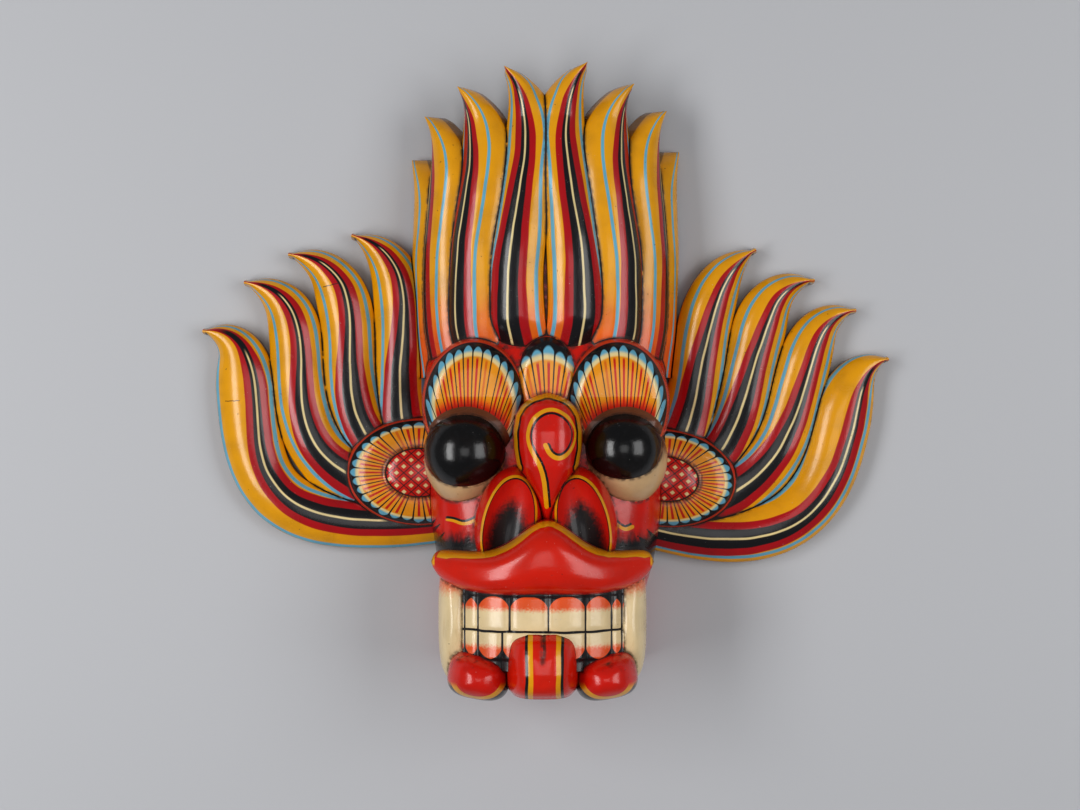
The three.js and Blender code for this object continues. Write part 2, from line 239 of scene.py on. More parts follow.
def enamel(name, pattern, roughness=0.17, brush=(1, 1, 1), groove_shade_share=0.75, coat=0.3):
    """A material: pattern(place) gives the colour, where place is the point in millimetres."""
    material = bpy.data.materials.new(name)
    material.use_nodes = True
    tree = material.node_tree
    shader = tree.nodes["Principled BSDF"]
    metres = Socket(tree).add("TexCoord", output="Object")
    place = metres.stretched(1 / MM, 1 / MM, 1 / MM)
    colour = pattern(place)
    tone = place.noise(14, 3)
    colour = mix(tone.rise(0.35, 0.75) * 0.16, colour, DIRT_AND_SHADE)
    # The grooves are darkened in patches, which is painted shade, and made rougher.
    groove = place.attribute("groove")
    groove_shade = groove.rise(2.2, 0.2) * place.noise(3, 3).rise(0.3, 0.6)
    colour = mix(groove_shade * groove_shade_share, colour, DIRT_AND_SHADE)
    streaks = place.stretched(*brush).noise(1.6, 3)
    grain = place.noise(0.8, 2)
    pin_holes = place.noise(1.9, 1).rise(0.24, 0.19)
    colour = mix(pin_holes * 0.6, colour, DIRT_AND_SHADE)
    dust = place.noise(1.1, 1).rise(0.77, 0.82)
    colour = mix(dust * 0.4, colour, DUST)
    height = streaks * 0.6 + grain * 0.25 - pin_holes * 0.8
    bump = tree.nodes.new("ShaderNodeBump")
    bump.inputs["Strength"].default_value = BRUSH_MARK_STRENGTH
    bump.inputs["Distance"].default_value = BRUSH_MARK_HEIGHT * MM
    tree.links.new(height.socket, bump.inputs["Height"])
    tree.links.new(bump.outputs["Normal"], shader.inputs["Normal"])
    tree.links.new(colour.socket, shader.inputs["Base Color"])
    shine = roughness + tone * 0.16 + groove_shade * 0.3
    tree.links.new(shine.socket, shader.inputs["Roughness"])
    shader.inputs["Specular IOR Level"].default_value = 0.4
    shader.inputs["Coat Weight"].default_value = coat
    shader.inputs["Coat Roughness"].default_value = 0.12
    return material


print("enamel ready")

# %% [markdown]
# ## Flame paint
# Every flame carries the same stripes: black with a cream line down the middle, crimson on both sides,
# yellow to the edges and a thin blue line in the yellow. They follow the flame, not the room, so the pattern
# reads the flame's own UV map: u runs across it and v along it. The whole number in v is the flame's own
# number, because the stripes don't lie at the same place on every flame.

# %% Paint the flames
FLAME_TOP = 0.3  # from the ridge to the edge, in u
BLACK_HALF = 0.3  # stripe edges, as shares of the flame's half width
CRIMSON_HALF = 0.53
BLUE_AT = 0.8
BLUE_HALF = 0.058
CREAM_HALF = 0.042
STRIPE_SOFT = 0.018
CROWN_BLACK_AT = 0.16  # off the ridge on the first pair of the crown
CROWN_BLACK_PER_PAIR = 0.2
CROWN_BLACK_AT_TIP = 0.14
CROWN_OUTER_BLUE_AT = 0.4
CROWN_TWIN_CUT = 0.3  # where the first pair meets, its blue lines are pushed off the middle by this
CROWN_ROOT_SWELLING = 0.3
CROWN_ORANGE_Y = 22
CROWN_YELLOW_Y = 66
EAR_OUTERMOST_BLACK_AT = 0.14
EAR_BLACK_AT_TIP = 0.22
EAR_BLUE_AT = 0.66
EAR_OUTERMOST_BLUE_AT = 0.92
EAR_ROOT_SWELLING = 0.2


def flame_coordinates(place):
    """Across the flame from -1 to 1, along it from 0 to 1, and its number."""
    u, v, _ = place.add("UVMap", {"uv_map": "UVMap"}).xyz()
    number = v.maths("FLOOR", v)
    return (u - 0.5) / FLAME_TOP, v - number, number


def stripe(distance, half):
    """1 within half of a line, with a brushed edge."""
    edge = distance - half
    return edge.rise(STRIPE_SOFT, -STRIPE_SOFT)


def flame_stripes(place, shift, blue_at, ground, root_swelling):
    """The stripes over a ground colour. shift moves the black middle off the ridge. One blue line lies
    at a fixed place, the other at blue_at on the other side of the ridge."""
    across, along, _ = flame_coordinates(place)
    wander = (place.noise(22, 1) - 0.5) * 0.1
    middle = abs(across - shift + wander)
    swelling = along.rise(0.5, 0.1) * root_swelling
    narrowing = 1 + swelling - along.rise(0.3, 0.8) * 0.34 - along.rise(0.8, 1.0) * 0.36
    thinning = 1 + swelling - along.rise(0.25, 0.8) * 0.58
    uneven = across + wander * 0.6
    colour = mix(stripe(abs(uneven - BLUE_AT), BLUE_HALF), ground, BLUE)
    colour = mix(stripe(abs(uneven + blue_at), BLUE_HALF), colour, BLUE)
    colour = mix(stripe(middle, CRIMSON_HALF * narrowing), colour, CRIMSON)
    black = stripe(middle, BLACK_HALF * thinning) * along.rise(0.97, 0.93)
    colour = mix(black, colour, BLACK)
    cream = stripe(middle, CREAM_HALF * (1 - along * 0.3)) * along.rise(0.88, 0.85)
    colour = mix(cream, colour, CREAM)
    # The side walls of the flame are painted darker ochre: painted shade.
    wall = abs(across).rise(1.0, 1.04)
    colour = mix(wall, colour, SIDE_SHADE_OCHRE)
    # A thin black line along each groove between flames: painted shade.
    line = place.attribute("groove").rise(0.75, 0.45) * place.noise(9, 2).rise(0.33, 0.4)
    return mix(line, colour, BLACK)


def crown_pattern(place):
    _, along, number = flame_coordinates(place)
    _, y, _ = place.xyz()
    pair = number.maths("FLOOR", number / 2)
    shift = CROWN_BLACK_AT + pair * CROWN_BLACK_PER_PAIR + along.rise(0.55, 0.9) * CROWN_BLACK_AT_TIP
    warmth = (y + place.noise(12, 3) * 16).rise(CROWN_YELLOW_Y, CROWN_ORANGE_Y)
    first_pair = number.rise(1.6, 1.4)
    cut_by_twin = along.rise(0.3, 0.6) * along.rise(0.97, 0.82)
    further = BLUE_AT - CROWN_OUTER_BLUE_AT - cut_by_twin * CROWN_TWIN_CUT
    blue_at = CROWN_OUTER_BLUE_AT + first_pair * further
    return flame_stripes(place, shift, blue_at, mix(warmth, YELLOW, ORANGE), CROWN_ROOT_SWELLING)


# Hairline cracks across two flames of the left ear: x and y of both ends.
FLAME_CRACKS = [(-177, -13, -168.5, -12.6), (-122.8, 50, -113.4, 52.4)]
CRACK_HALF = 0.16
CRACK_SOFT = 0.1


def crack(place, first_x, first_y, last_x, last_y):
    """1 on a wavering hairline between two points."""
    x, y, _ = place.xyz()
    line = first_y + (x - first_x) * ((last_y - first_y) / (last_x - first_x))
    off = abs(y - line + (place.noise(2, 2) - 0.5) * 0.8)
    hairline = off.rise(CRACK_HALF + CRACK_SOFT, CRACK_HALF)
    return hairline * x.rise(first_x - CRACK_SOFT, first_x) * x.rise(last_x + CRACK_SOFT, last_x)


def ear_pattern(place):
    _, along, number = flame_coordinates(place)
    outermost = number.rise(2.5, 2.6)
    shift = outermost * EAR_OUTERMOST_BLACK_AT + along.rise(0.3, 0.75) * EAR_BLACK_AT_TIP
    blue_at = EAR_BLUE_AT + outermost * (EAR_OUTERMOST_BLUE_AT - EAR_BLUE_AT)
    colour = flame_stripes(place, shift, blue_at, YELLOW, EAR_ROOT_SWELLING)
    for ends in FLAME_CRACKS:
        colour = mix(crack(place, *ends), colour, DIRT_AND_SHADE)
    return colour


crown_paint = enamel("crown_flame_enamel", crown_pattern, brush=(1, 0.25, 1))
ear_paint = enamel("ear_flame_enamel", ear_pattern, brush=(0.6, 0.3, 1))
print("flame paints:", crown_paint.name, ear_paint.name)

# %% [markdown]
# ## Petal fans
# The brows, the little fan on the forehead and the rosettes in the ears are painted with rows of petals on
# black: a blue tip that fades through cream into yellow, redder towards the root, a red line down the
# middle and a black gap to the next one. A petal is one step of an angle, so one function paints all the
# fans from an angle and from how far out a point is.

# %% Paint a row of petals


def petals(step, out, tip, root, warmth, roundness=0.1, width=0.43):
    """step counts the petals around the fan, out runs from root to tip, warmth reddens the roots."""
    number = step.maths("ROUND", step)
    beside = step - number
    uneven = number.add("TexWhiteNoise", {"noise_dimensions": "1D"}, {"W": number})
    end = tip + (uneven - 0.5) * 0.05 - beside * beside * (4 * roundness)
    length = (out - root) / (tip - root)
    inside = (out - end).rise(0.012, -0.012) * abs(beside).rise(width + 0.03, width - 0.03)
    colour = mix(warmth.rise(0.0, 0.6), PETAL_YELLOW, ORANGE)
    colour = mix(warmth.rise(0.4, 1.0), colour, PETAL_RED)
    vein = abs(beside).rise(0.15, 0.1) * length.rise(0.8, 0.72) * uneven.rise(0.05, 0.1)
    colour = mix(vein, colour, PETAL_RED)
    colour = mix(length.rise(0.77, 0.82), colour, CREAM)
    colour = mix(length.rise(0.84, 0.92), colour, BLUE)
    return mix(inside, BLACK, colour)


def fan_angle(x, y, middle_x, middle_y):
    """Degrees from straight up around a point, positive to the right."""
    return x.maths("ARCTAN2", x - middle_x, y - middle_y) * (180 / math.pi)


def reach(x, y, middle_x, middle_y, across, up):
    """How far out a point is in an ellipse: 0 in its middle, 1 on its edge."""
    sideways = (x - middle_x) / across
    upwards = (y - middle_y) / up
    return (sideways * sideways + upwards * upwards) ** 0.5


BROW = {"x": 38, "y": -15, "z": 43, "across": 28.5, "up": 36, "out": 20}
BROW_RIM_FROM = 0.925
BROW_PETALS_FROM_Y = -68
BROW_PETALS_FROM_X = 41
BROW_PETAL_DEGREES = 3.7
EYE_X = 42
EYE_Y = -38.8
EYE_HALF_WIDTH = 21.4
EYE_HALF_HEIGHT = 20.6


def brow_pattern(place):
    x, y, _ = place.xyz()
    aside = abs(x)
    out = reach(aside, y, BROW["x"], BROW["y"], BROW["across"], BROW["up"])
    step = fan_angle(aside, y, BROW_PETALS_FROM_X, BROW_PETALS_FROM_Y) / BROW_PETAL_DEGREES
    eye = reach(aside, y, EYE_X, EYE_Y, EYE_HALF_WIDTH, EYE_HALF_HEIGHT)
    colour = petals(step, out, BROW_RIM_FROM - 0.05, 0.1, eye.rise(1.5, 1.05))
    # A brown band round the eye, where the brow overhangs it: painted shade.
    colour = mix(eye.rise(1.13, 1.1), colour, EYE_SHADE_BROWN)
    return mix(out.rise(BROW_RIM_FROM - 0.01, BROW_RIM_FROM + 0.01), colour, RIM_RED)


FOREHEAD = {"x": 0.5, "y": -2, "z": 42, "across": 17.5, "up": 25, "out": 15.5}
FOREHEAD_RIM_FROM = 0.93
FOREHEAD_PETALS_FROM_Y = -46
FOREHEAD_PETAL_DEGREES = 6.4


def forehead_pattern(place):
    x, y, _ = place.xyz()
    out = reach(x, y, FOREHEAD["x"], FOREHEAD["y"], FOREHEAD["across"], FOREHEAD["up"])
    step = fan_angle(x, y, FOREHEAD["x"] + 1, FOREHEAD_PETALS_FROM_Y) / FOREHEAD_PETAL_DEGREES
    height = (y - FOREHEAD_PETALS_FROM_Y) / (FOREHEAD["y"] + FOREHEAD["up"] - FOREHEAD_PETALS_FROM_Y)
    side = abs(x) / 46
    colour = petals(step, height + side * side, 0.9, 0.4, height.rise(0.7, 0.4) * 0.5, roundness=0.05)
    return mix(out.rise(FOREHEAD_RIM_FROM - 0.01, FOREHEAD_RIM_FROM + 0.01), colour, RIM_RED)


ROSETTE_PETALS = 32
ROSETTE_BOSS = 0.45
ROSETTE_RIM_FROM = 0.94
LATTICE_PITCH = 8
LATTICE_SLOPE = 1.15


def rosette_pattern(middle_x, middle_y, across, up, turn):
    def pattern(place):
        settings = {"vector_type": "TEXTURE"}
        inputs = {"Vector": place, "Location": (middle_x, middle_y, 0), "Rotation": (0, 0, turn)}
        x, y, _ = place.add("Mapping", settings, inputs).xyz()
        sideways = x / across
        upwards = y / up
        out = (sideways * sideways + upwards * upwards) ** 0.5
        angle = out.maths("ARCTAN2", sideways, upwards)
        step = angle * (ROSETTE_PETALS / (2 * math.pi))
        warmth = out.rise(0.65, ROSETTE_BOSS) * 0.3
        colour = petals(step, out, ROSETTE_RIM_FROM - 0.04, ROSETTE_BOSS, warmth, roundness=0.07)
        colour = mix(out.rise(ROSETTE_RIM_FROM - 0.01, ROSETTE_RIM_FROM + 0.01), colour, RIM_RED)
        crossing = x.maths("PINGPONG", x + y * LATTICE_SLOPE, LATTICE_PITCH / 2)
        other = x.maths("PINGPONG", x - y * LATTICE_SLOPE, LATTICE_PITCH / 2)
        net = mix(crossing.rise(2.3, 2.8) * other.rise(2.3, 2.8), RED, CREAM)
        net = mix(crossing.rise(0.45, 0.25), net, BLACK)
        net = mix(other.rise(0.45, 0.25), net, BLACK)
        net = mix(out.rise(ROSETTE_BOSS - 0.03, ROSETTE_BOSS - 0.02), net, BLACK)
        boss = out.rise(ROSETTE_BOSS + 0.01, ROSETTE_BOSS - 0.01)
        return mix(boss, colour, net)

    return pattern


brow_paint = enamel("brow_petal_enamel", brow_pattern)
forehead_paint = enamel("forehead_petal_enamel", forehead_pattern)
print("petal paints:", brow_paint.name, forehead_paint.name)

# %% [markdown]
# ## Face paint
# The face is red, and its lines follow the carving: a yellow and black line along the edge of the nose, the
# nostrils and the lip. A painter runs the brush along the edge, so the pattern reads how far a point is
# from that edge, which is measured on the finished mesh and kept there as an attribute. The free lines,
# such as the curl on the nose, are kept as the distance to a drawn stroke in the same way.

# %% Paint the face
LIP_TOP_Y = -92
LIP_PEAK = 17.5
LIP_PEAK_X = 2.5
LIP_PEAK_WIDTH = 19
LIP_CORNER_RISE = 1.5
LIP_HALF_WIDTH = 58.2
LIP_FRONT = 97
LIP_CORNER_FRONT = 66
MOUTH_X = -1.8
NOSE_LINE = 2.7  # widths of the yellow lines and of the black one beside them
NOSE_BLACK_LINE = 1
NOSTRIL_LINE = 2.4
LIP_LINE = 2.5
HAIRLINE = 0.05
LINE_SOFT = 0.15


def lined(place, colour):
    """The drawn strokes over a colour: black ones, and yellow ones over those."""
    colour = mix(place.attribute("black_stroke").rise(1.3, 0.9), colour, BLACK)
    return mix(place.attribute("yellow_stroke").rise(1.1, 0.9), colour, YELLOW)


def edged(place, colour, edge, yellow, black, share=1.0):
    """A yellow line along an edge of the carving, with a black line beside it."""
    distance = place.attribute(edge) + (place.noise(9, 1) - 0.5) * 0.7
    for width, line_colour in ((yellow + black, BLACK), (yellow, YELLOW)):
        colour = mix(distance.rise(width + LINE_SOFT, width - LINE_SOFT) * share, colour, line_colour)
    return colour


def above_lip(x, y):
    """Height of a point over the upper lip's edge."""
    offset = (x - (LIP_PEAK_X + MOUTH_X)) / LIP_PEAK_WIDTH
    peak = (0 - offset * offset).maths("EXPONENT", 0 - offset * offset) * LIP_PEAK
    return y - peak - LIP_TOP_Y


def cheek_pattern(place):
    x, y, z = place.xyz()
    hairs = place.stretched(0.9, 0.35, 0.35).noise(2.2, 2)
    over = above_lip(x, y)
    moustache = (over + hairs * 9).rise(16, 8) * over.rise(-16, -9)
    behind_teeth = y.rise(-100, -106) * abs(x - MOUTH_X).rise(48, 44) * z.rise(46, 50)
    colour = mix(moustache.maths("MAXIMUM", moustache, behind_teeth), RED, BLACK)
    # High in the crown the block is painted the darker ochre of the flame walls: painted shade.
    colour = mix(y.rise(55, 70), colour, SIDE_SHADE_OCHRE)
    return lined(place, colour)


def nose_pattern(place):
    _, y, z = place.xyz()
    front = y.rise(-52, -49) * z.rise(60, 64)
    return edged(place, lined(place, RED), "nose_edge", NOSE_LINE, NOSE_BLACK_LINE, front)


def nostril_pattern(place):
    return edged(place, RED, "nostril_edge", NOSTRIL_LINE, HAIRLINE)


def nostril_hollow_pattern(place):
    _, y, _ = place.xyz()
    edge = place.attribute("nostril_edge")
    smoke = (edge + (place.noise(1.6, 4) - 0.5) * 8 - (y + 74) * 0.4).rise(5, 15)
    colour = mix(smoke, RED, BLACK)
    return mix(edge.rise(1.3, 1.0), colour, BLACK)


def lip_pattern(place):
    colour = mix(place.noise(16, 3).rise(0.45, 0.8) * 0.4, LIP_RED, RED)
    x, y, z = place.xyz()
    off_middle = (x - MOUTH_X) / LIP_HALF_WIDTH
    square = off_middle * off_middle
    over = above_lip(x, y) - square * square * LIP_CORNER_RISE
    round_the_end = abs(off_middle).rise(0.965, 0.972) * over.rise(-9, -7)
    colour = mix(round_the_end, colour, YELLOW)
    deep = LIP_FRONT - z - square * (LIP_FRONT - LIP_CORNER_FRONT)
    return edged(place, colour, "lip_edge", LIP_LINE, HAIRLINE, over.rise(-4, -3.4) * deep.rise(20, 17))


cheek_paint = enamel("cheek_enamel", cheek_pattern)
nose_paint = enamel("nose_enamel", nose_pattern)
nostril_paint = enamel("nostril_enamel", nostril_pattern)
nostril_hollow_paint = enamel("nostril_hollow_enamel", nostril_hollow_pattern, roughness=0.4)
lip_paint = enamel("lip_enamel", lip_pattern, brush=(0.2, 1, 1))
print("face paints ready")

# %% [markdown]
# ## Eyes, teeth and tongue
# The eyes are glossy black balls on cream. The teeth are cream, flushed with orange at the gums, with black
# lines between them. Their lines are where the teeth are, so the pattern and the carving of the teeth share
# the same list of edges.

# %% Paint the eyes, teeth and tongue
BITE_Y = -131.5
UPPER_GUM_Y = -113.5
LOWER_GUM_Y = -146
UPPER_EDGES = [-33.4, -16.9, 3.0, 22.1, 35.8]
LOWER_EDGES = [-33.4, -20.7, 22.1, 35.8]
MOUTH_ENDS = [-40.5, 41.3]
TOOTH_LINE = 0.55
TOOTH_CORNER = 8  # radius of the arch that each tooth makes in the gum
TOOTH_FLUSH = srgb(224, 92, 40)


def eye_pattern(place):
    return mix(place.noise(3, 4).rise(0.5, 0.9) * 0.25, srgb(13, 13, 14), srgb(60, 60, 64))


def eye_white_pattern(place):
    _, y, _ = place.xyz()
    # The upper part of the eye white, under the brow, is painted brown: painted shade.
    return mix((y - place.noise(12, 2) * 8).rise(-52, -38), EYE_CREAM, EYE_SHADE_BROWN)


def nearest(x, edges):
    """How far it is across the mouth to the nearest edge between two teeth."""
    distance = abs(x - (edges[0] + MOUTH_X))
    for edge in edges[1:]:
        distance = distance.maths("MINIMUM", distance, abs(x - (edge + MOUTH_X)))
    return distance


def tooth_pattern(place):
    x, y, _ = place.xyz()
    upper = y.rise(BITE_Y - 0.05, BITE_Y + 0.05)
    gap = nearest(x, UPPER_EDGES + MOUTH_ENDS) * upper
    gap = gap + nearest(x, LOWER_EDGES + MOUTH_ENDS) * (1 - upper)
    to_gum = (UPPER_GUM_Y - y) * upper + (y - LOWER_GUM_Y) * (1 - upper)
    flush = (to_gum + place.noise(1, 3) * 4).rise(10.5, 7)
    corner = (1 - gap / TOOTH_CORNER).maths("MAXIMUM", 1 - gap / TOOTH_CORNER, 0)
    to_gum = to_gum - (1 - (1 - corner * corner) ** 0.5) * TOOTH_CORNER
    colour = mix(flush, TOOTH, TOOTH_FLUSH)
    colour = mix(to_gum.rise(0.2, -0.2), colour, BLACK)
    wander = place.noise(8, 1) * 0.5
    colour = mix((gap + wander).rise(TOOTH_LINE + 0.35, TOOTH_LINE + 0.05), colour, BLACK)
    bite = abs(y - BITE_Y + (place.noise(14, 1) - 0.5) * 1.6)
    return mix(bite.rise(0.75, 0.5), colour, BLACK)


def tusk_pattern(place):
    _, y, _ = place.xyz()
    flush = (y + place.noise(1.5, 3) * 8).rise(-112, -104)
    grain = place.stretched(1, 0.12, 1).noise(2.4, 3).rise(0.55, 0.75)
    colour = mix(grain * 0.3, TOOTH, srgb(176, 138, 84))
    return mix(flush * 0.85, colour, TOOTH_FLUSH)


LOWER_LIP = {"x": 33, "y": -156, "z": 66, "across": 16.5, "up": 12.4, "out": 24, "lean": math.radians(10)}


def lower_lip_pattern(place):
    x, y, z = place.xyz()
    out = reach(abs(x - MOUTH_X), y, LOWER_LIP["x"], LOWER_LIP["y"], LOWER_LIP["across"], LOWER_LIP["up"])
    below = y.rise(LOWER_LIP["y"] - 1, LOWER_LIP["y"] - 5) * z.rise(60, 64)
    # The lower lip is darker in patches towards its top, next to the teeth.
    colour = mix(place.noise(5, 3).rise(0.5, 0.75) * y.rise(-153, -147), RED, DIRT_AND_SHADE)
    colour = mix(out.rise(0.69, 0.71) * below, colour, YELLOW)
    return mix(out.rise(0.88, 0.9) * below, colour, BLACK)


TONGUE_STRIPE = 7.2
TONGUE_STRIPE_HALF = 1.25
TONGUE_BLACK_TO = 10


def tongue_pattern(place):
    x, y, _ = place.xyz()
    aside = abs(x - MOUTH_X - 1 + (place.noise(16, 1) - 0.5) * 1.5)
    black = aside.rise(TONGUE_STRIPE, TONGUE_STRIPE + 0.3)
    black = black * aside.rise(TONGUE_BLACK_TO + 0.1, TONGUE_BLACK_TO - 0.2)
    colour = mix(black, LIP_RED, BLACK)
    yellow = abs(aside - TONGUE_STRIPE).rise(TONGUE_STRIPE_HALF + 0.2, TONGUE_STRIPE_HALF - 0.2)
    colour = mix(yellow, colour, YELLOW)
    # The groove down the middle of the tongue is darkened: painted shade.
    groove = aside.rise(1.1, 0.5) * y.rise(-147, -139)
    return mix(groove * 0.75, colour, DIRT_AND_SHADE)


eye_paint = enamel("eyeball_enamel", eye_pattern, roughness=0.12, groove_shade_share=0, coat=0.3)
eye_white_paint = enamel("eye_white_enamel", eye_white_pattern)
tooth_paint = enamel("tooth_enamel", tooth_pattern, brush=(1, 0.3, 1), groove_shade_share=0)
tusk_paint = enamel("tusk_enamel", tusk_pattern, brush=(1, 0.2, 1))
lower_lip_paint = enamel("lower_lip_enamel", lower_lip_pattern)
tongue_paint = enamel("tongue_enamel", tongue_pattern, brush=(1, 0.2, 1))
print("mouth paints ready")

# %% [markdown]
# ## Bare wood
# The back is not painted. Carvers leave the marks of the gouge inside: short scooped facets in rows, with
# the grain running up the mask.

# %% The wood of the back
GOUGE_MARKS_PER_MM = 0.11
GOUGE_DEPTH = 2
GOUGE_STRENGTH = 0.6


def wood_material():
    material = bpy.data.materials.new("bare_carved_wood")
    material.use_nodes = True
    tree = material.node_tree
    shader = tree.nodes["Principled BSDF"]
    place = Socket(tree).add("TexCoord", output="Object").stretched(1 / MM, 1 / MM, 1 / MM)
    grain = place.stretched(1, 0.06, 1).noise(2.2, 4)
    tone = place.noise(40, 2)
    colour = mix(grain.rise(0.35, 0.7), WOOD, WOOD_DARK)
    colour = mix(tone.rise(0.4, 0.8) * 0.4, colour, WOOD_DARK)
    scoops = place.stretched(1, 0.45, 1)
    inputs = {"Vector": scoops, "Scale": GOUGE_MARKS_PER_MM, "Smoothness": 0.3}
    cells = scoops.add("TexVoronoi", {"feature": "SMOOTH_F1"}, inputs)
    height = cells * 1.2 + grain * 0.15
    bump = tree.nodes.new("ShaderNodeBump")
    bump.inputs["Strength"].default_value = GOUGE_STRENGTH
    bump.inputs["Distance"].default_value = GOUGE_DEPTH * MM
    tree.links.new(height.socket, bump.inputs["Height"])
    tree.links.new(bump.outputs["Normal"], shader.inputs["Normal"])
    tree.links.new(colour.socket, shader.inputs["Base Color"])
    rough = 0.68 + grain * 0.2
    tree.links.new(rough.socket, shader.inputs["Roughness"])
    return material


wood = wood_material()
print("wood:", wood.name)

# %% [markdown]
# ## Ways to carve
# Two kinds of form make the whole mask. A lump is a ball stretched to its size, for eyes, brows and
# nostrils. A flame, a lip or the head block has no primitive near enough, so a flat grid is rolled into a
# bar: a formula says where each point of the sheet goes, the seam is welded and the ends are filled. The
# sheet's UV map then runs around and along the form, which is what the flame paint needs. Forms are joined
# and cut with the Boolean modifier, which keeps the paint of each.

# %% Lumps, rolled bars, joins and cuts
WELD = 1e-5


def smooth(value, low, high):
    share = np.clip((value - low) / (high - low), 0, 1)
    return share * share * (3 - 2 * share)


def between(first, second, share):
    return first + (second - first) * share


def take_points(mesh):
    points = np.empty(len(mesh.vertices) * 3, np.float32)
    mesh.vertices.foreach_get("co", points)
    return points.reshape(-1, 3).astype(float)


def put_points(mesh, points):
    mesh.vertices.foreach_set("co", points.astype(np.float32).ravel())
    mesh.update()


def close_up(form):
    """Welds the seam of the active form, fills its ends and turns its faces outwards."""
    bpy.ops.object.mode_set(mode="EDIT")
    bpy.ops.mesh.select_all(action="SELECT")
    bpy.ops.mesh.remove_doubles(threshold=WELD)
    bpy.ops.mesh.fill_holes(sides=0)
    bpy.ops.mesh.normals_make_consistent(inside=False)
    bpy.ops.object.mode_set(mode="OBJECT")
    return form


def rolled(name, around, along, place, paint, number=0):
    """A grid rolled into a closed bar. place(s, t) gives x, y, z for s around it and t along it."""
    bpy.ops.object.select_all(action="DESELECT")
    bpy.ops.mesh.primitive_grid_add(x_subdivisions=around, y_subdivisions=along, size=1)
    bar = bpy.context.object
    bar.name = name
    sheet = take_points(bar.data) + 0.5
    points = np.broadcast_arrays(*place(sheet[:, 0], sheet[:, 1]))
    put_points(bar.data, np.stack(points, axis=1) * MM)
    for loop in bar.data.uv_layers.active.data:
        loop.uv.y = number + 0.999 * loop.uv.y
    bar.data.materials.append(paint)
    return close_up(bar)


def lump(name, form, paint, side=1, across=96, down=64, carve=None):
    """A ball stretched to its half sizes, with its poles to the front and back."""
    bpy.ops.object.select_all(action="DESELECT")
    bpy.ops.mesh.primitive_uv_sphere_add(segments=across, ring_count=down, radius=1)
    ball = bpy.context.object
    ball.name = name
    if carve:
        put_points(ball.data, carve(take_points(ball.data)))
    ball.scale = (form["across"] * MM, form["up"] * MM, form["out"] * MM)
    ball.rotation_euler.z = side * form.get("lean", 0)
    ball.location = (side * form["x"] * MM, form["y"] * MM, form["z"] * MM)
    bpy.ops.object.transform_apply(location=True, rotation=True, scale=True)
    ball.data.materials.append(paint)
    return ball


def combine(whole, others, operation):
    """Joins the other forms to this one, or cuts them out of it, with their paint."""
    group = bpy.data.collections.new("combined")
    bpy.context.scene.collection.children.link(group)
    for form in others:
        for home in list(form.users_collection):
            home.objects.unlink(form)
        group.objects.link(form)
    bpy.ops.object.select_all(action="DESELECT")
    bpy.context.view_layer.objects.active = whole
    whole.select_set(True)
    modifier = whole.modifiers.new("combine", "BOOLEAN")
    modifier.operation = operation
    modifier.operand_type = "COLLECTION"
    modifier.collection = group
    modifier.solver = "MANIFOLD"
    modifier.material_mode = "TRANSFER"
    bpy.ops.object.modifier_apply(modifier=modifier.name)
    for form in others:
        bpy.data.objects.remove(form)
    bpy.data.collections.remove(group)
    return whole


def below_floor():
    """Everything behind the plane that the mask lies on, which is left as bare wood."""
    size = 600
    bpy.ops.object.select_all(action="DESELECT")
    bpy.ops.mesh.primitive_cube_add(size=size * MM, location=(0, 0, -size / 2 * MM))
    cutter = bpy.context.object
    bpy.ops.object.transform_apply(location=True, rotation=True, scale=True)
    cutter.data.materials.append(wood)
    return cutter


print("tools ready")

# %% [markdown]
# ## The head block
# Under all the carving is one block, rounded in front and flat behind. Its half width and depth are known
# at a few heights. Between them they are averaged over a short stretch, so that no ridge shows where two
# stretches meet. The hollow behind is the same form, smaller by the thickness of the wall.

# %% The head block and its hollow
HEAD_HEIGHTS = [-160, -150, -125, -98, -75, -40, -5, 25, 70, 105, 119, 131, 140]
HEAD_HALF_WIDTHS = [42, 47, 52, 60, 63.5, 65, 66, 68, 70, 69, 62, 45, 20]
HEAD_DEPTHS = [60, 68, 72, 68, 58, 52, 52, 54, 54, 49, 46, 43, 41]
FACE_SQUARENESS = 3.4
CROWN_SQUARENESS = 2
FACE_TOP_Y = -10
CROWN_FOOT_Y = 35
AVERAGED_OVER = np.linspace(-7, 7, 5)
BEHIND = -6  # forms reach this far behind the plane of the back before they are cut off there
BLOCK_ENDS = [-160, 140]
BLOCK_ROWS = [-160, -98, -84, -70, 20, 140]  # closer together where fine lines are painted
CROWN_CORE = 5  # the block lies this much deeper under the crown's flames
FRONT_SHARE = 0.42  # how far the rounded front of a section reaches to each side, of the way around
WALL = 15
HOLLOW_ENDS = [-122, 92]


def head_slice(y):
    """The block's half width and depth at a height up the face."""
    half_width = np.mean([np.interp(y + d, HEAD_HEIGHTS, HEAD_HALF_WIDTHS) for d in AVERAGED_OVER], axis=0)
    depth = np.mean([np.interp(y + d, HEAD_HEIGHTS, HEAD_DEPTHS) for d in AVERAGED_OVER], axis=0)
    return half_width, depth


def half_round(s, half_width, depth, squareness, back):
    """Around a section with a rounded front and a flat back. s is 0.5 in the middle of the front."""
    turn = s - 0.5
    angle = np.clip(turn / FRONT_SHARE, -1, 1) * math.pi / 2
    sine = np.abs(np.sin(angle)) / half_width
    cosine = np.maximum(np.cos(angle), 0) / depth
    radius = (sine**squareness + cosine**squareness) ** (-1 / squareness)
    behind = np.abs(turn) > FRONT_SHARE + 0.001
    back_x = np.sign(turn) * half_width * (0.5 - np.abs(turn)) / (0.5 - FRONT_SHARE)
    x = np.where(behind, back_x, radius * np.sin(angle))
    z = np.where(behind, back, radius * np.cos(angle))
    return x, z


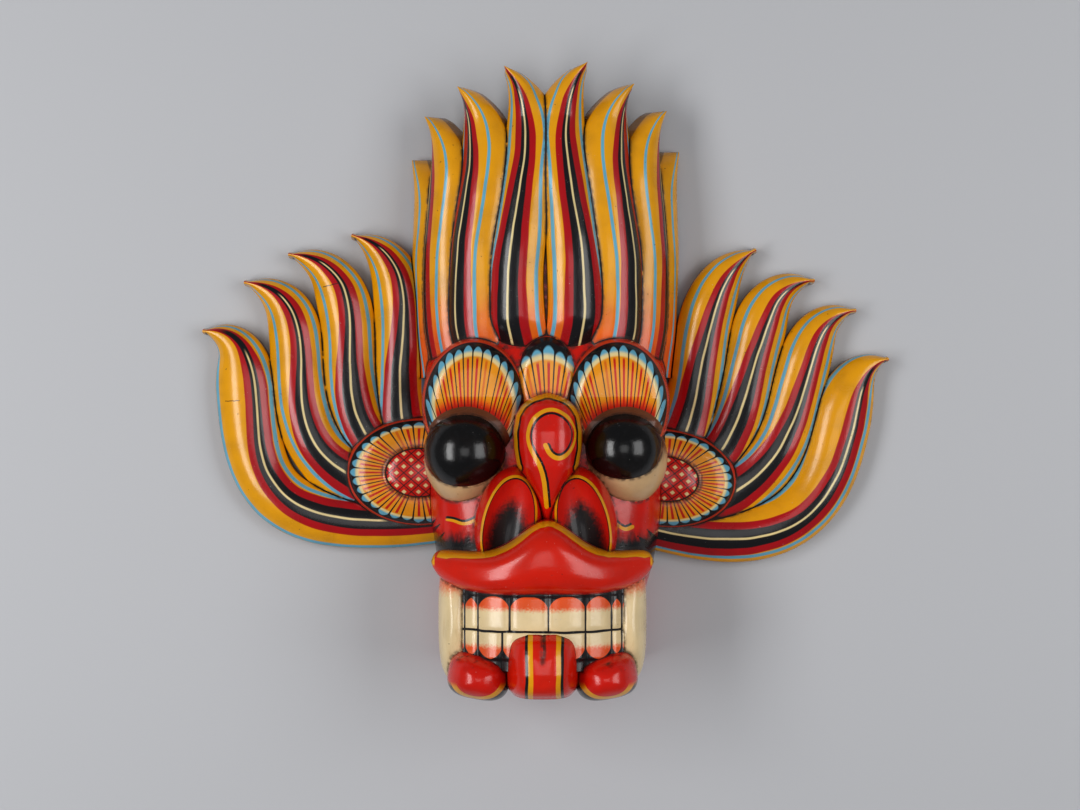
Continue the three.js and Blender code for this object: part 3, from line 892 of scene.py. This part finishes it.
def head_block(name, grow, heights, paint, crown_core=0, around=80, along=80):
    """The block, larger by grow all round. heights spread its rows up the face."""

    def place(s, t):
        y = np.interp(t, np.linspace(0, 1, len(heights)), heights)
        half_width, depth = head_slice(y)
        larger = grow - crown_core * smooth(y, 2, 24)
        squareness = between(FACE_SQUARENESS, CROWN_SQUARENESS, smooth(y, FACE_TOP_Y, CROWN_FOOT_Y))
        x, z = half_round(s, half_width + larger, depth + larger, squareness, BEHIND)
        return x, y, z

    return rolled(name, around, along, place, paint)


# %% [markdown]
# ## Flames
# A flame is a bar with a rounded ridge. In the crown its spine bends around the head block while it climbs,
# swells away from the middle and hooks outwards at the tip. In the ears the spine lies flat. Both narrow
# over the last stretch, the crown's flames to a blunter tip.

# %% Flames of the crown and the ears
FLAME_AROUND = 44
FLAME_ALONG = 96
RIDGE_POWER = 2.3
TIP_FULLNESS = 2.1
CROWN_PITCH = math.radians(22.8)
CROWN_TIP_Y = [(166.5, 168.5), (157, 158.5), (143, 146), (121.5, 126)]  # left and right of each pair
CROWN_ROOT_LENGTH = 30
CROWN_ROOT_SINKS = [12, 4, 2, 1]  # each pair dives under the brow next to it
CROWN_ROOT_FROM_Y = [4, 0, 0, 0]
CROWN_ROOT_SPREAD = 0.12
CROWN_BELLY_Y = 80
CROWN_NECK_BELOW_TIP = 29
CROWN_TURNS = np.radians([0, 13, -22, 6.2])
CROWN_HALF_WIDTH = 14.5
CROWN_TIP_LENGTH = 42
CROWN_TIP_HALF_WIDTH = 3.4
CROWN_TIP_ROUND = 3  # the tip is rounded off over this length
CROWN_TIP_LEAST = 0.08
CROWN_RISE = 5
CROWN_SHOULDER = -3
CROWN_ROOTED = 16
CROWN_TIP_ROOTED = 8
HAND_WANDER = 0.02  # unevenness of a carved edge, as a share of the width


def flame_section(s):
    """Where a point of the section lies: across the flame, and 0 on its top to 1 at its back."""
    turn = np.abs(s - 0.5)
    stops = [0, FLAME_TOP, 0.4, 0.5]
    across = np.sign(s - 0.5) * np.interp(turn, stops, [0, 1, 1, 0])
    return across, np.interp(turn, stops, [0, 0, 1, 1])


def flame_width(to_tip, tip_length):
    return 1 - np.maximum(0, 1 - to_tip / tip_length) ** TIP_FULLNESS


def curve_point(points, t):
    """A point on a cubic curve with four control points."""
    a, b, c, d = [np.asarray(point, float)[:, None] for point in points]
    return a * (1 - t) ** 3 + 3 * b * t * (1 - t) ** 2 + 3 * c * t**2 * (1 - t) + d * t**3


def crown_flame(pair, side, grow=0):
    tip_y = CROWN_TIP_Y[pair][side > 0]
    heights = [0, CROWN_BELLY_Y, tip_y - CROWN_NECK_BELOW_TIP, tip_y]
    angles = (pair + 0.5) * CROWN_PITCH + CROWN_TURNS
    number = 2 * pair + (side > 0)

    def place(s, t):
        angle, y = curve_point(np.stack([angles, heights], axis=1), t)
        across, behind = flame_section(s)
        half_width, depth = head_slice(np.minimum(y, CROWN_BELLY_Y))
        slope = head_slice(np.minimum(y, HEAD_HEIGHTS[-1]))[1] / depth
        out_x = np.sin(angle) / half_width
        out_z = np.cos(angle) / depth
        length = np.hypot(out_x, out_z)
        out_x, out_z = out_x / length, out_z / length
        width = flame_width(tip_y - y, CROWN_TIP_LENGTH)
        wander = 1 + HAND_WANDER * np.sin(y / 9 + 2 * number + across)
        spread = 1 + CROWN_ROOT_SPREAD * (1 - smooth(y, 30, 80))
        blunt = CROWN_TIP_HALF_WIDTH * np.sqrt(np.clip((tip_y - y) / CROWN_TIP_ROUND, CROWN_TIP_LEAST, 1))
        half = ((CROWN_HALF_WIDTH - CROWN_TIP_HALF_WIDTH) * width * spread + blunt) * wander + grow
        risen = smooth(y - CROWN_ROOT_FROM_Y[pair], 0, CROWN_ROOT_LENGTH)
        sunk = CROWN_ROOT_SINKS[pair] * (1 - risen) - grow
        top = between(CROWN_RISE, CROWN_SHOULDER, np.abs(across) ** RIDGE_POWER)
        rise = between(top, -between(CROWN_TIP_ROOTED, CROWN_ROOTED, width), behind) - sunk
        x = half_width * np.sin(angle) + half * across * out_z + rise * out_x
        z = depth * slope * np.cos(angle) - half * across * out_x + rise * out_z
        return side * x, y, z

    return rolled(f"crown_flame_{number}", FLAME_AROUND, FLAME_ALONG, place, crown_paint, number)


EAR_TIP_LENGTH = 48
EAR_TIP_HALF_WIDTH = 1.7
EAR_EDGE = 8
EAR_RIDGE = 17
EAR_TIP_THINNING = 0.7
EAR_ROOT_THINNING = 0.8  # the roots lie lower, under the rosette


def ear_flame(number, half_width, root_half_width, spine):
    def place(s, t):
        even = np.linspace(0, 1, 400)
        line = curve_point(spine, even)
        steps = np.hypot(*np.diff(line, axis=1))
        travelled = np.concatenate([[0], np.cumsum(steps)])
        on_curve = np.interp(t * travelled[-1], travelled, even)
        x, y = curve_point(spine, on_curve)
        ahead = curve_point(spine, np.minimum(on_curve + 0.002, 1)) - curve_point(spine, on_curve - 0.002)
        heading = ahead / np.hypot(*ahead)
        across, behind = flame_section(s)
        width = flame_width(travelled[-1] * (1 - t), EAR_TIP_LENGTH)
        wander = 1 + HAND_WANDER * np.sin(t * 16 + 3 * number + across)
        half = width * between(half_width, root_half_width, (1 - t) ** 2) * wander
        half = np.maximum(EAR_TIP_HALF_WIDTH, half)
        thick = between(EAR_TIP_THINNING, 1, width) * between(EAR_ROOT_THINNING, 1, smooth(t, 0.12, 0.4))
        top = between(EAR_RIDGE, EAR_EDGE, np.abs(across) ** RIDGE_POWER) * thick
        z = between(top, BEHIND, behind)
        return x + half * across * heading[1], y - half * across * heading[0], z

    return rolled(f"ear_flame_{number}", FLAME_AROUND, FLAME_ALONG, place, ear_paint, number)


# %% [markdown]
# ## The face
# Brows and rosettes are lumps with a rim: the field that carries the petals is cut a little deeper than the
# rim around it. The nose is a rolled bar, because it runs in one sweep from the bulb down between the
# nostrils. The nostrils are lumps with a hollow cut into each.

# %% Brows, eyes and nose
RIM_STEP = 0.05  # depth of the field inside a rim, as a share of the lump's height
BROW_EDGE_POWER = 6
EYE_SIDE_SINK = 0.3
EYE_WHITE = {"x": 41.8, "y": -43.5, "z": 40, "across": 23.6, "up": 26, "out": 23.5}
LEFT_EYEBALL = {"x": 43, "y": -39.6, "z": 48, "across": 22, "up": 21.2, "out": 23}
RIGHT_EYEBALL = {"x": 41.4, "y": -38, "z": 48, "across": 20.8, "up": 20, "out": 22.5}
NOSE_HEIGHTS = [-86, -78, -64, -55, -47, -38, -29, -20, -15, -12, -10, -9, -8.5]
NOSE_HALF_WIDTHS = [2, 3, 7, 12.5, 17, 18.5, 18.8, 17.4, 14.6, 11.2, 7.6, 4.4, 0.5]
NOSE_FRONTS = [56, 66, 76, 80, 83, 84.5, 85, 83, 79.5, 75, 69, 63, 58]
NOSE_X = 1
NOSE_BACK = 40
NOSE_SQUARENESS = 2.9
NOSTRIL = {"x": 19.5, "y": -76, "z": 58, "across": 17.8, "up": 29, "out": 26, "lean": math.radians(11)}
NOSTRIL_HOLLOW = {"x": 19.5, "y": -81, "z": 82, "across": 14, "up": 33, "out": 18, "lean": math.radians(11)}


def rimmed(rim_from, eye_side_sink=0):
    """Carves a ball flatter in front, with a field inside a rim, and lower towards an eye below it."""

    def carve(points):
        out = np.hypot(points[:, 0], points[:, 1])
        level = np.sqrt(np.maximum(0, 1 - out**BROW_EDGE_POWER))
        level -= RIM_STEP * (1 - smooth(out, rim_from - 0.015, rim_from + 0.015))
        level -= eye_side_sink * (1 - smooth(points[:, 1], -0.25, 0.14))
        points[:, 2] = np.where(points[:, 2] > 0, np.maximum(level, 0), points[:, 2])
        return points

    return carve


def nose():
    def place(s, t):
        y = between(NOSE_HEIGHTS[0], NOSE_HEIGHTS[-1], np.sin(t * math.pi / 2))
        spread = np.linspace(-1, 1, 5)
        half_width = np.mean([np.interp(y + d, NOSE_HEIGHTS, NOSE_HALF_WIDTHS) for d in spread], axis=0)
        front = np.mean([np.interp(y + d, NOSE_HEIGHTS, NOSE_FRONTS) for d in spread], axis=0)
        x, z = half_round(s, half_width, front - NOSE_BACK, NOSE_SQUARENESS, 0)
        return NOSE_X + x, y, NOSE_BACK + z

    return rolled("nose", 160, 140, place, nose_paint)


# %% [markdown]
# ## The mouth
# The upper lip is a full roll with a peak under the nose. The teeth are one curved bar: each tooth is
# rounded a little and the lines between them are cut in. Tusks, the ends of the lower lip and the tongue
# finish it.

# %% Lips, teeth, tusks and tongue
LIP_BOTTOM_Y = -114
LIP_BOTTOM_CURL = 10.5
LIP_BACK = 45
LIP_SQUARENESS = 2.6
LIP_END_POWER = 20  # the larger, the blunter the ends
TOOTH_TOP_Y = -110
TOOTH_BOTTOM_Y = -152
TOOTH_FRONT = 87
TOOTH_ARCH = 15
TOOTH_ROOTED = 30
TOOTH_ROUNDING = 1.3
TOOTH_GAP_FADE = 1.6
BITE_GAP_FADE = 1.1
GUM_STEP = 0.9
TUSK = {"x": 45.5, "y": -127, "z": 50, "across": 9.8, "up": 34, "out": 22}
TONGUE_HALF_WIDTH = 20.5
TONGUE_HEIGHTS = [-165.5, -164.5, -162.5, -159, -152, -143, -138, -135, -133.5, -132.5]
TONGUE_WIDTHS = [0.78, 0.86, 0.93, 0.98, 1, 1, 0.98, 0.92, 0.84, 0.72]
TONGUE_FRONTS = [86, 90, 94, 97, 99, 98, 96, 93, 90, 86]
TONGUE_BACK = 45
TONGUE_SQUARENESS = 3
TONGUE_GROOVE_DEPTH = 1.4
TONGUE_GROOVE_HALF = 1.6
CORNER_POWER = 3


def upper_lip():
    def place(s, t):
        share = np.sin((t - 0.5) * math.pi)
        x = share * LIP_HALF_WIDTH
        peak = LIP_PEAK * np.exp(-(((x - LIP_PEAK_X) / LIP_PEAK_WIDTH) ** 2))
        top = LIP_TOP_Y + peak + LIP_CORNER_RISE * share**4
        bottom = LIP_BOTTOM_Y + LIP_BOTTOM_CURL * share**4
        front = between(LIP_FRONT, LIP_CORNER_FRONT, share**2)
        end = np.maximum(0.1, np.sqrt(1 - share**LIP_END_POWER))
        angle = (s - 0.5) * 2 * math.pi
        sine, cosine = np.sin(angle), np.cos(angle)
        radius = np.abs(sine) ** LIP_SQUARENESS + np.abs(cosine) ** LIP_SQUARENESS
        radius = radius ** (-1 / LIP_SQUARENESS)
        y = (top + bottom) / 2 + end * radius * sine * (top - bottom) / 2
        z = (front + LIP_BACK) / 2 + radius * cosine * (front - LIP_BACK) / 2
        return MOUTH_X + x, y, z

    return rolled("upper_lip", 90, 170, place, lip_paint)


def teeth():
    def relief(x, y):
        upper = y > BITE_Y
        gap = np.full_like(x, np.inf)
        for edges, row in ((UPPER_EDGES, upper), (LOWER_EDGES, ~upper)):
            for edge in edges + MOUTH_ENDS:
                gap = np.where(row, np.minimum(gap, np.abs(x - edge)), gap)
        to_gum = np.where(upper, UPPER_GUM_Y - y, y - LOWER_GUM_Y)
        rounding = TOOTH_ROUNDING * np.exp(-gap / TOOTH_GAP_FADE)
        rounding += np.exp(-np.abs(y - BITE_Y) / BITE_GAP_FADE)
        return rounding + GUM_STEP * smooth(-to_gum, -1, 1)

    def place(s, t):
        x = between(MOUTH_ENDS[0] - 1, MOUTH_ENDS[1] + 1, t)
        turn = np.abs(s - 0.5)
        stops = [0, 0.42, 0.46, 0.5]
        level = np.sign(s - 0.5) * np.interp(turn, stops, [0, 1, 1, 0])
        behind = np.interp(turn, stops, [0, 0, 1, 1])
        y = between(TOOTH_TOP_Y, TOOTH_BOTTOM_Y, (level + 1) / 2)
        arch = TOOTH_FRONT - TOOTH_ARCH * (x / MOUTH_ENDS[1]) ** 2
        z = arch - between(relief(x, y), TOOTH_ROOTED, behind)
        return MOUTH_X + x, y, z

    return rolled("teeth", 84, 150, place, tooth_paint)


def tongue():
    def place(s, t):
        y = between(TONGUE_HEIGHTS[0], TONGUE_HEIGHTS[-1], t)
        spread = np.linspace(-1.5, 1.5, 7)
        width = np.mean([np.interp(y + d, TONGUE_HEIGHTS, TONGUE_WIDTHS) for d in spread], axis=0)
        width = width * TONGUE_HALF_WIDTH
        front = np.mean([np.interp(y + d, TONGUE_HEIGHTS, TONGUE_FRONTS) for d in spread], axis=0)
        x, z = half_round(s, width, front - TONGUE_BACK, TONGUE_SQUARENESS, 0)
        groove = TONGUE_GROOVE_DEPTH * np.exp(-((x / TONGUE_GROOVE_HALF) ** 2)) * smooth(y, -150, -140)
        z = z - groove * (z > 10)
        return MOUTH_X + x, y, TONGUE_BACK + z

    return rolled("tongue", 80, 60, place, tongue_paint)


def squared(points):
    """Carves a ball into one with fuller corners, seen from the front."""
    angle = np.arctan2(points[:, 1], points[:, 0])
    corner = np.abs(np.cos(angle)) ** CORNER_POWER + np.abs(np.sin(angle)) ** CORNER_POWER
    corner = corner ** (-1 / CORNER_POWER)
    points[:, :2] *= corner[:, None]
    return points


def at_mouth(name, form, paint):
    """A lump on both sides of the mouth's own middle."""
    forms = [(side, {**form, "x": form["x"] + side * MOUTH_X}) for side in (-1, 1)]
    return [lump(name, shifted, paint, side, carve=squared) for side, shifted in forms]


# %% [markdown]
# ## Carve the head
# Everything on the face is joined to the block first. Then the nostrils are hollowed, the mouth is set in
# front of them, and the back is hollowed and cut off flat.

# %% Join and cut the head
head = head_block("carved_head", 0, BLOCK_ROWS, cheek_paint, CROWN_CORE, 160, 150)
face_forms = [crown_flame(pair, side) for pair in range(len(CROWN_TIP_Y)) for side in (-1, 1)]
for side in (-1, 1):
    face_forms.append(lump("brow", BROW, brow_paint, side, 128, 96, rimmed(BROW_RIM_FROM, EYE_SIDE_SINK)))
    face_forms.append(lump("eye_white", EYE_WHITE, eye_white_paint, side))
    face_forms.append(lump("nostril", NOSTRIL, nostril_paint, side))
face_forms.append(lump("forehead", FOREHEAD, forehead_paint, 1, 96, 72, rimmed(FOREHEAD_RIM_FROM)))
face_forms.append(lump("eyeball", LEFT_EYEBALL, eye_paint, -1))
face_forms.append(lump("eyeball", RIGHT_EYEBALL, eye_paint, 1))
face_forms.append(nose())
combine(head, face_forms, "UNION")
scoops = [lump("nostril_hollow", NOSTRIL_HOLLOW, nostril_hollow_paint, side) for side in (-1, 1)]
combine(head, scoops, "DIFFERENCE")
mouth_forms = [upper_lip(), teeth(), tongue()]
mouth_forms += at_mouth("tusk", TUSK, tusk_paint)
mouth_forms += at_mouth("lower_lip", LOWER_LIP, lower_lip_paint)
combine(head, mouth_forms, "UNION")
hollow = head_block("hollow", -WALL, HOLLOW_ENDS, wood)
combine(head, [hollow, below_floor()], "DIFFERENCE")
print("head:", len(head.data.vertices), "vertices,", [m.name for m in head.data.materials])

# %% [markdown]
# ## Carve the ears
# Each ear is a rosette with four flames. The panel is trimmed where it meets the head: it is cut by the
# head block and by the crown's flames, each a hair larger than they are.

# %% Join and cut the ears
HEAD_GAP = 0.3
CROWN_GAP = 0.8
ROSETTE_TOP = 22
ROSETTE_SINK = 8
ROSETTE_BOSS_TOP = 26
LEFT_ROSETTE = {"x": -69.5, "y": -52, "across": 41.5, "up": 30.4, "lean": 0}
LEFT_FLAMES = [
    (14.6, 17, [(-74, -39), (-92, -9), (-60, 64), (-107.5, 79)]),
    (14.8, 17, [(-83, -45), (-132, -21), (-84, 60), (-142.5, 68.5)]),
    (14.8, 19, [(-82, -63), (-175, -43), (-107, 42), (-167, 53)]),
    (17.4, 13, [(-62, -79), (-219, -97), (-132, 22), (-190, 26)]),
]
RIGHT_ROSETTE = {"x": 66, "y": -55.5, "across": 40.5, "up": 27.8, "lean": math.radians(-6)}
RIGHT_FLAMES = [
    (14.6, 17, [(70, -46), (95, -6), (75, 52), (116.5, 71)]),
    (14.8, 17, [(86, -50), (125, -26), (102, 55), (149, 54)]),
    (14.8, 18.5, [(84, -71), (162, -51), (123, 34), (172, 37.5)]),
    (17, 14, [(58, -81), (195, -115), (141, 6), (190, 10.5)]),
]


def boss_and_rim(points):
    """Carves a rosette's ball: a raised middle, a sunk field and a rim."""
    points = rimmed(ROSETTE_RIM_FROM)(points)
    out = np.hypot(points[:, 0], points[:, 1]) / ROSETTE_BOSS
    height = (ROSETTE_BOSS_TOP - ROSETTE_TOP) / (ROSETTE_TOP - ROSETTE_SINK)
    points[:, 2] += height * np.sqrt(np.maximum(0, 1 - out**2)) * (points[:, 2] > 0)
    return points


def ear_panel(name, rosette, flames):
    where = (rosette["x"], rosette["y"], rosette["across"], rosette["up"], rosette["lean"])
    paint = enamel(f"{name}_rosette_enamel", rosette_pattern(*where))
    form = {**rosette, "z": ROSETTE_SINK, "out": ROSETTE_TOP - ROSETTE_SINK}
    panel = lump(name, form, paint, 1, 160, 96, boss_and_rim)
    combine(panel, [ear_flame(number, *flame) for number, flame in enumerate(flames)], "UNION")
    trims = [crown_flame(pair, side, CROWN_GAP) for pair in (2, 3) for side in (-1, 1)]
    trims.append(head_block("trim", HEAD_GAP, BLOCK_ENDS, wood))
    trims.append(below_floor())
    for trim in trims:
        trim.data.materials[0] = wood
    return combine(panel, trims, "DIFFERENCE")


left_ear = ear_panel("carved_left_ear", LEFT_ROSETTE, LEFT_FLAMES)
right_ear = ear_panel("carved_right_ear", RIGHT_ROSETTE, RIGHT_FLAMES)
for ear in (left_ear, right_ear):
    print(ear.name, len(ear.data.vertices), "vertices")

# %% [markdown]
# ## Measure the carving for the brush
# Grooves are edges where two faces fold towards each other. Borders are edges between two paints. For each
# point of a mesh, the distance to the nearest of them is kept as an attribute that the enamel reads.

# %% Keep distances to grooves, borders and strokes
GROOVE_ANGLE = math.radians(22)
FAR = 20.0


def edge_spots(piece, wanted):
    """Points along the edges of a piece for which wanted(edge) is true."""
    shape = bmesh.new()
    shape.from_mesh(piece.data)
    spots = []
    for edge in shape.edges:
        if len(edge.link_faces) == 2 and wanted(edge):
            first, second = [vert.co.copy() for vert in edge.verts]
            spots += [first, (first + second) / 2, second]
    shape.free()
    return spots


def nearest_spots(piece, spots, depth=1):
    """For each point of a piece, the nearest spot's number and its distance in millimetres.
    With no depth, both are taken as they are seen from the front."""
    flat = Vector((1, 1, depth))
    tree = KDTree(len(spots))
    for number, spot in enumerate(spots):
        tree.insert(spot * flat, number)
    tree.balance()
    found = [tree.find(vertex.co * flat) for vertex in piece.data.vertices]
    numbers = np.array([number for _, number, _ in found])
    return numbers, np.array([distance for _, _, distance in found]) / MM


def keep(piece, name, values):
    attribute = piece.data.attributes.new(name, "FLOAT", "POINT")
    attribute.data.foreach_set("value", np.clip(values, -FAR, FAR).astype(np.float32))


def is_groove(edge):
    return edge.calc_face_angle_signed(0) < -GROOVE_ANGLE


def is_border(piece, one, others):
    """Tells whether an edge lies between one paint and any of some others."""
    slots = {material.name: number for number, material in enumerate(piece.data.materials)}
    first = slots[one.name]
    second = {slots[other.name] for other in others}

    def wanted(edge):
        a, b = [face.material_index for face in edge.link_faces]
        return (a == first and b in second) or (b == first and a in second)

    return wanted


for piece in (head, left_ear, right_ear):
    keep(piece, "groove", nearest_spots(piece, edge_spots(piece, is_groove))[1])
BORDERS = {
    "nose_edge": (nose_paint, [brow_paint, forehead_paint, eye_white_paint, eye_paint, cheek_paint], 0),
    "nostril_edge": (nostril_paint, [nostril_hollow_paint], 1),
    "lip_edge": (lip_paint, [cheek_paint, nostril_paint, nostril_hollow_paint, nose_paint], 0),
}
for name, (one, others, depth) in BORDERS.items():
    spots = edge_spots(head, is_border(head, one, others))
    keep(head, name, nearest_spots(head, spots, depth)[1])
    print(name, len(spots), "spots")

# %% [markdown]
# The free strokes are short lists of points, seen from the front. They are rounded off, dropped onto the
# carving from above, and the distance to them is divided by the stroke's half width, which makes 1 the edge
# of the stroke and lets a stroke taper. Each yellow stroke has a thin black one along its right side.

# %% The drawn strokes
CURL = [(0.3, -68), (-1.4, -49), (-8.5, -37.3), (-9.9, -29.7), (-6.6, -21.1), (1.9, -16.4), (10.5, -19.7),
        (15.2, -26.8), (15.2, -33.5), (11.9, -40.1), (6.7, -43), (1.9, -40.5), (-0.4, -35.4)]
LEFT_WHISKER = [(-35, -74.4), (-38.5, -76.6), (-43.7, -78.4), (-49, -76.4), (-53.4, -76.2)]
RIGHT_WHISKER = [(46, -79.5), (42.1, -81.2), (38.5, -79), (35.5, -75.8)]
YELLOW_STROKES = [(CURL, 1.2, 1.2), (LEFT_WHISKER, 1.0, 0.7), (RIGHT_WHISKER, 1.1, 0.7)]
BLACK_STROKES = [
    ([(-65, -84), (-62, -80), (-59, -76)], 1.8, 0.2),
    ([(-64.5, -88), (-61, -83), (-56.3, -78.6)], 2.4, 0.2),
    ([(-62, -94), (-58, -88), (-53.5, -82.4)], 2.6, 0.2),
    ([(57, -94), (53.5, -89), (47.8, -83.8)], 2.6, 0.2),
    ([(60, -89), (57, -85), (53.3, -80.6)], 2.2, 0.2),
]
STROKE_STEP = 0.25
THIN_LINE = 0.6


def flowing(points):
    """Rounds off a line by cutting its corners, three times over."""
    line = np.array(points, float)
    for _ in range(3):
        first, second = line[:-1], line[1:]
        cut = np.stack([first * 0.75 + second * 0.25, first * 0.25 + second * 0.75], axis=1)
        line = np.concatenate([line[:1], cut.reshape(-1, 2), line[-1:]])
    travelled = np.concatenate([[0], np.cumsum(np.hypot(*np.diff(line, axis=0).T))])
    even = np.arange(0, travelled[-1], STROKE_STEP)
    return np.stack([np.interp(even, travelled, line[:, axis]) for axis in (0, 1)], axis=1)


def stroke(points, first_half, last_half):
    line = flowing(points)
    return line, np.linspace(first_half, last_half, len(line))


def along_right(line, halves):
    """A thin stroke that touches the right side of another."""
    heading = np.gradient(line, axis=0)
    right = np.stack([heading[:, 1], -heading[:, 0]], axis=1) / np.hypot(*heading.T)[:, None]
    return line + right * (halves + THIN_LINE)[:, None], np.full(len(line), THIN_LINE)


def keep_strokes(piece, name, strokes):
    surface = BVHTree.FromObject(piece, bpy.context.evaluated_depsgraph_get())
    spots = []
    for line, _ in strokes:
        for x, y in line:
            hit = surface.ray_cast(Vector((x * MM, y * MM, 1)), Vector((0, 0, -1)))[0]
            spots.append(hit or Vector((x * MM, y * MM, 0)))
    numbers, distances = nearest_spots(piece, spots)
    keep(piece, name, distances / np.concatenate([halves for _, halves in strokes])[numbers])


yellow_strokes = [stroke(*facts) for facts in YELLOW_STROKES]
black_strokes = [stroke(*facts) for facts in BLACK_STROKES]
black_strokes += [along_right(*drawn) for drawn in yellow_strokes]
keep_strokes(head, "yellow_stroke", yellow_strokes)
keep_strokes(head, "black_stroke", black_strokes)
print("strokes:", len(yellow_strokes), "yellow and", len(black_strokes), "black")

# %% [markdown]
# ## Finish
# Faces are shaded smooth except across sharp folds. Each piece rides on the one body and stands for its
# solid.

# %% Shade, ride and replace
SHARP = math.radians(38)
PIECES = {"head": (head, "painted_head"), "left_ear_flames": (left_ear, "painted_ears"),
          "right_ear_flames": (right_ear, "painted_ears")}
for node, (piece, slot) in PIECES.items():
    bpy.ops.object.select_all(action="DESELECT")
    piece.select_set(True)
    bpy.context.view_layer.objects.active = piece
    bpy.ops.object.shade_smooth_by_angle(angle=SHARP)
    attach(piece, "root")
    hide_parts(node)
    triangles = sum(len(face.vertices) - 2 for face in piece.data.polygons)
    print(piece.name, "stands for", node, "with", triangles, "triangles")

# %% [markdown]
# ## Floor
# The mask lies on a plain pale floor, which is not part of it.

# %% Lay the floor
FLOOR_SIZE = 6
FLOOR_BELOW = 0.2  # so that it doesn't flicker through the back
FLOOR_GREY = srgb(186, 187, 190)
bpy.ops.object.select_all(action="DESELECT")
bpy.ops.mesh.primitive_plane_add(size=FLOOR_SIZE, location=(0, 0, -FLOOR_BELOW * MM))
floor = bpy.context.object
floor.name = "floor"
floor_finish = bpy.data.materials.new("pale_floor")
floor_finish.use_nodes = True
floor_finish.node_tree.nodes["Principled BSDF"].inputs["Base Color"].default_value = FLOOR_GREY
floor_finish.node_tree.nodes["Principled BSDF"].inputs["Roughness"].default_value = 0.7
floor.data.materials.append(floor_finish)
print("floor laid")
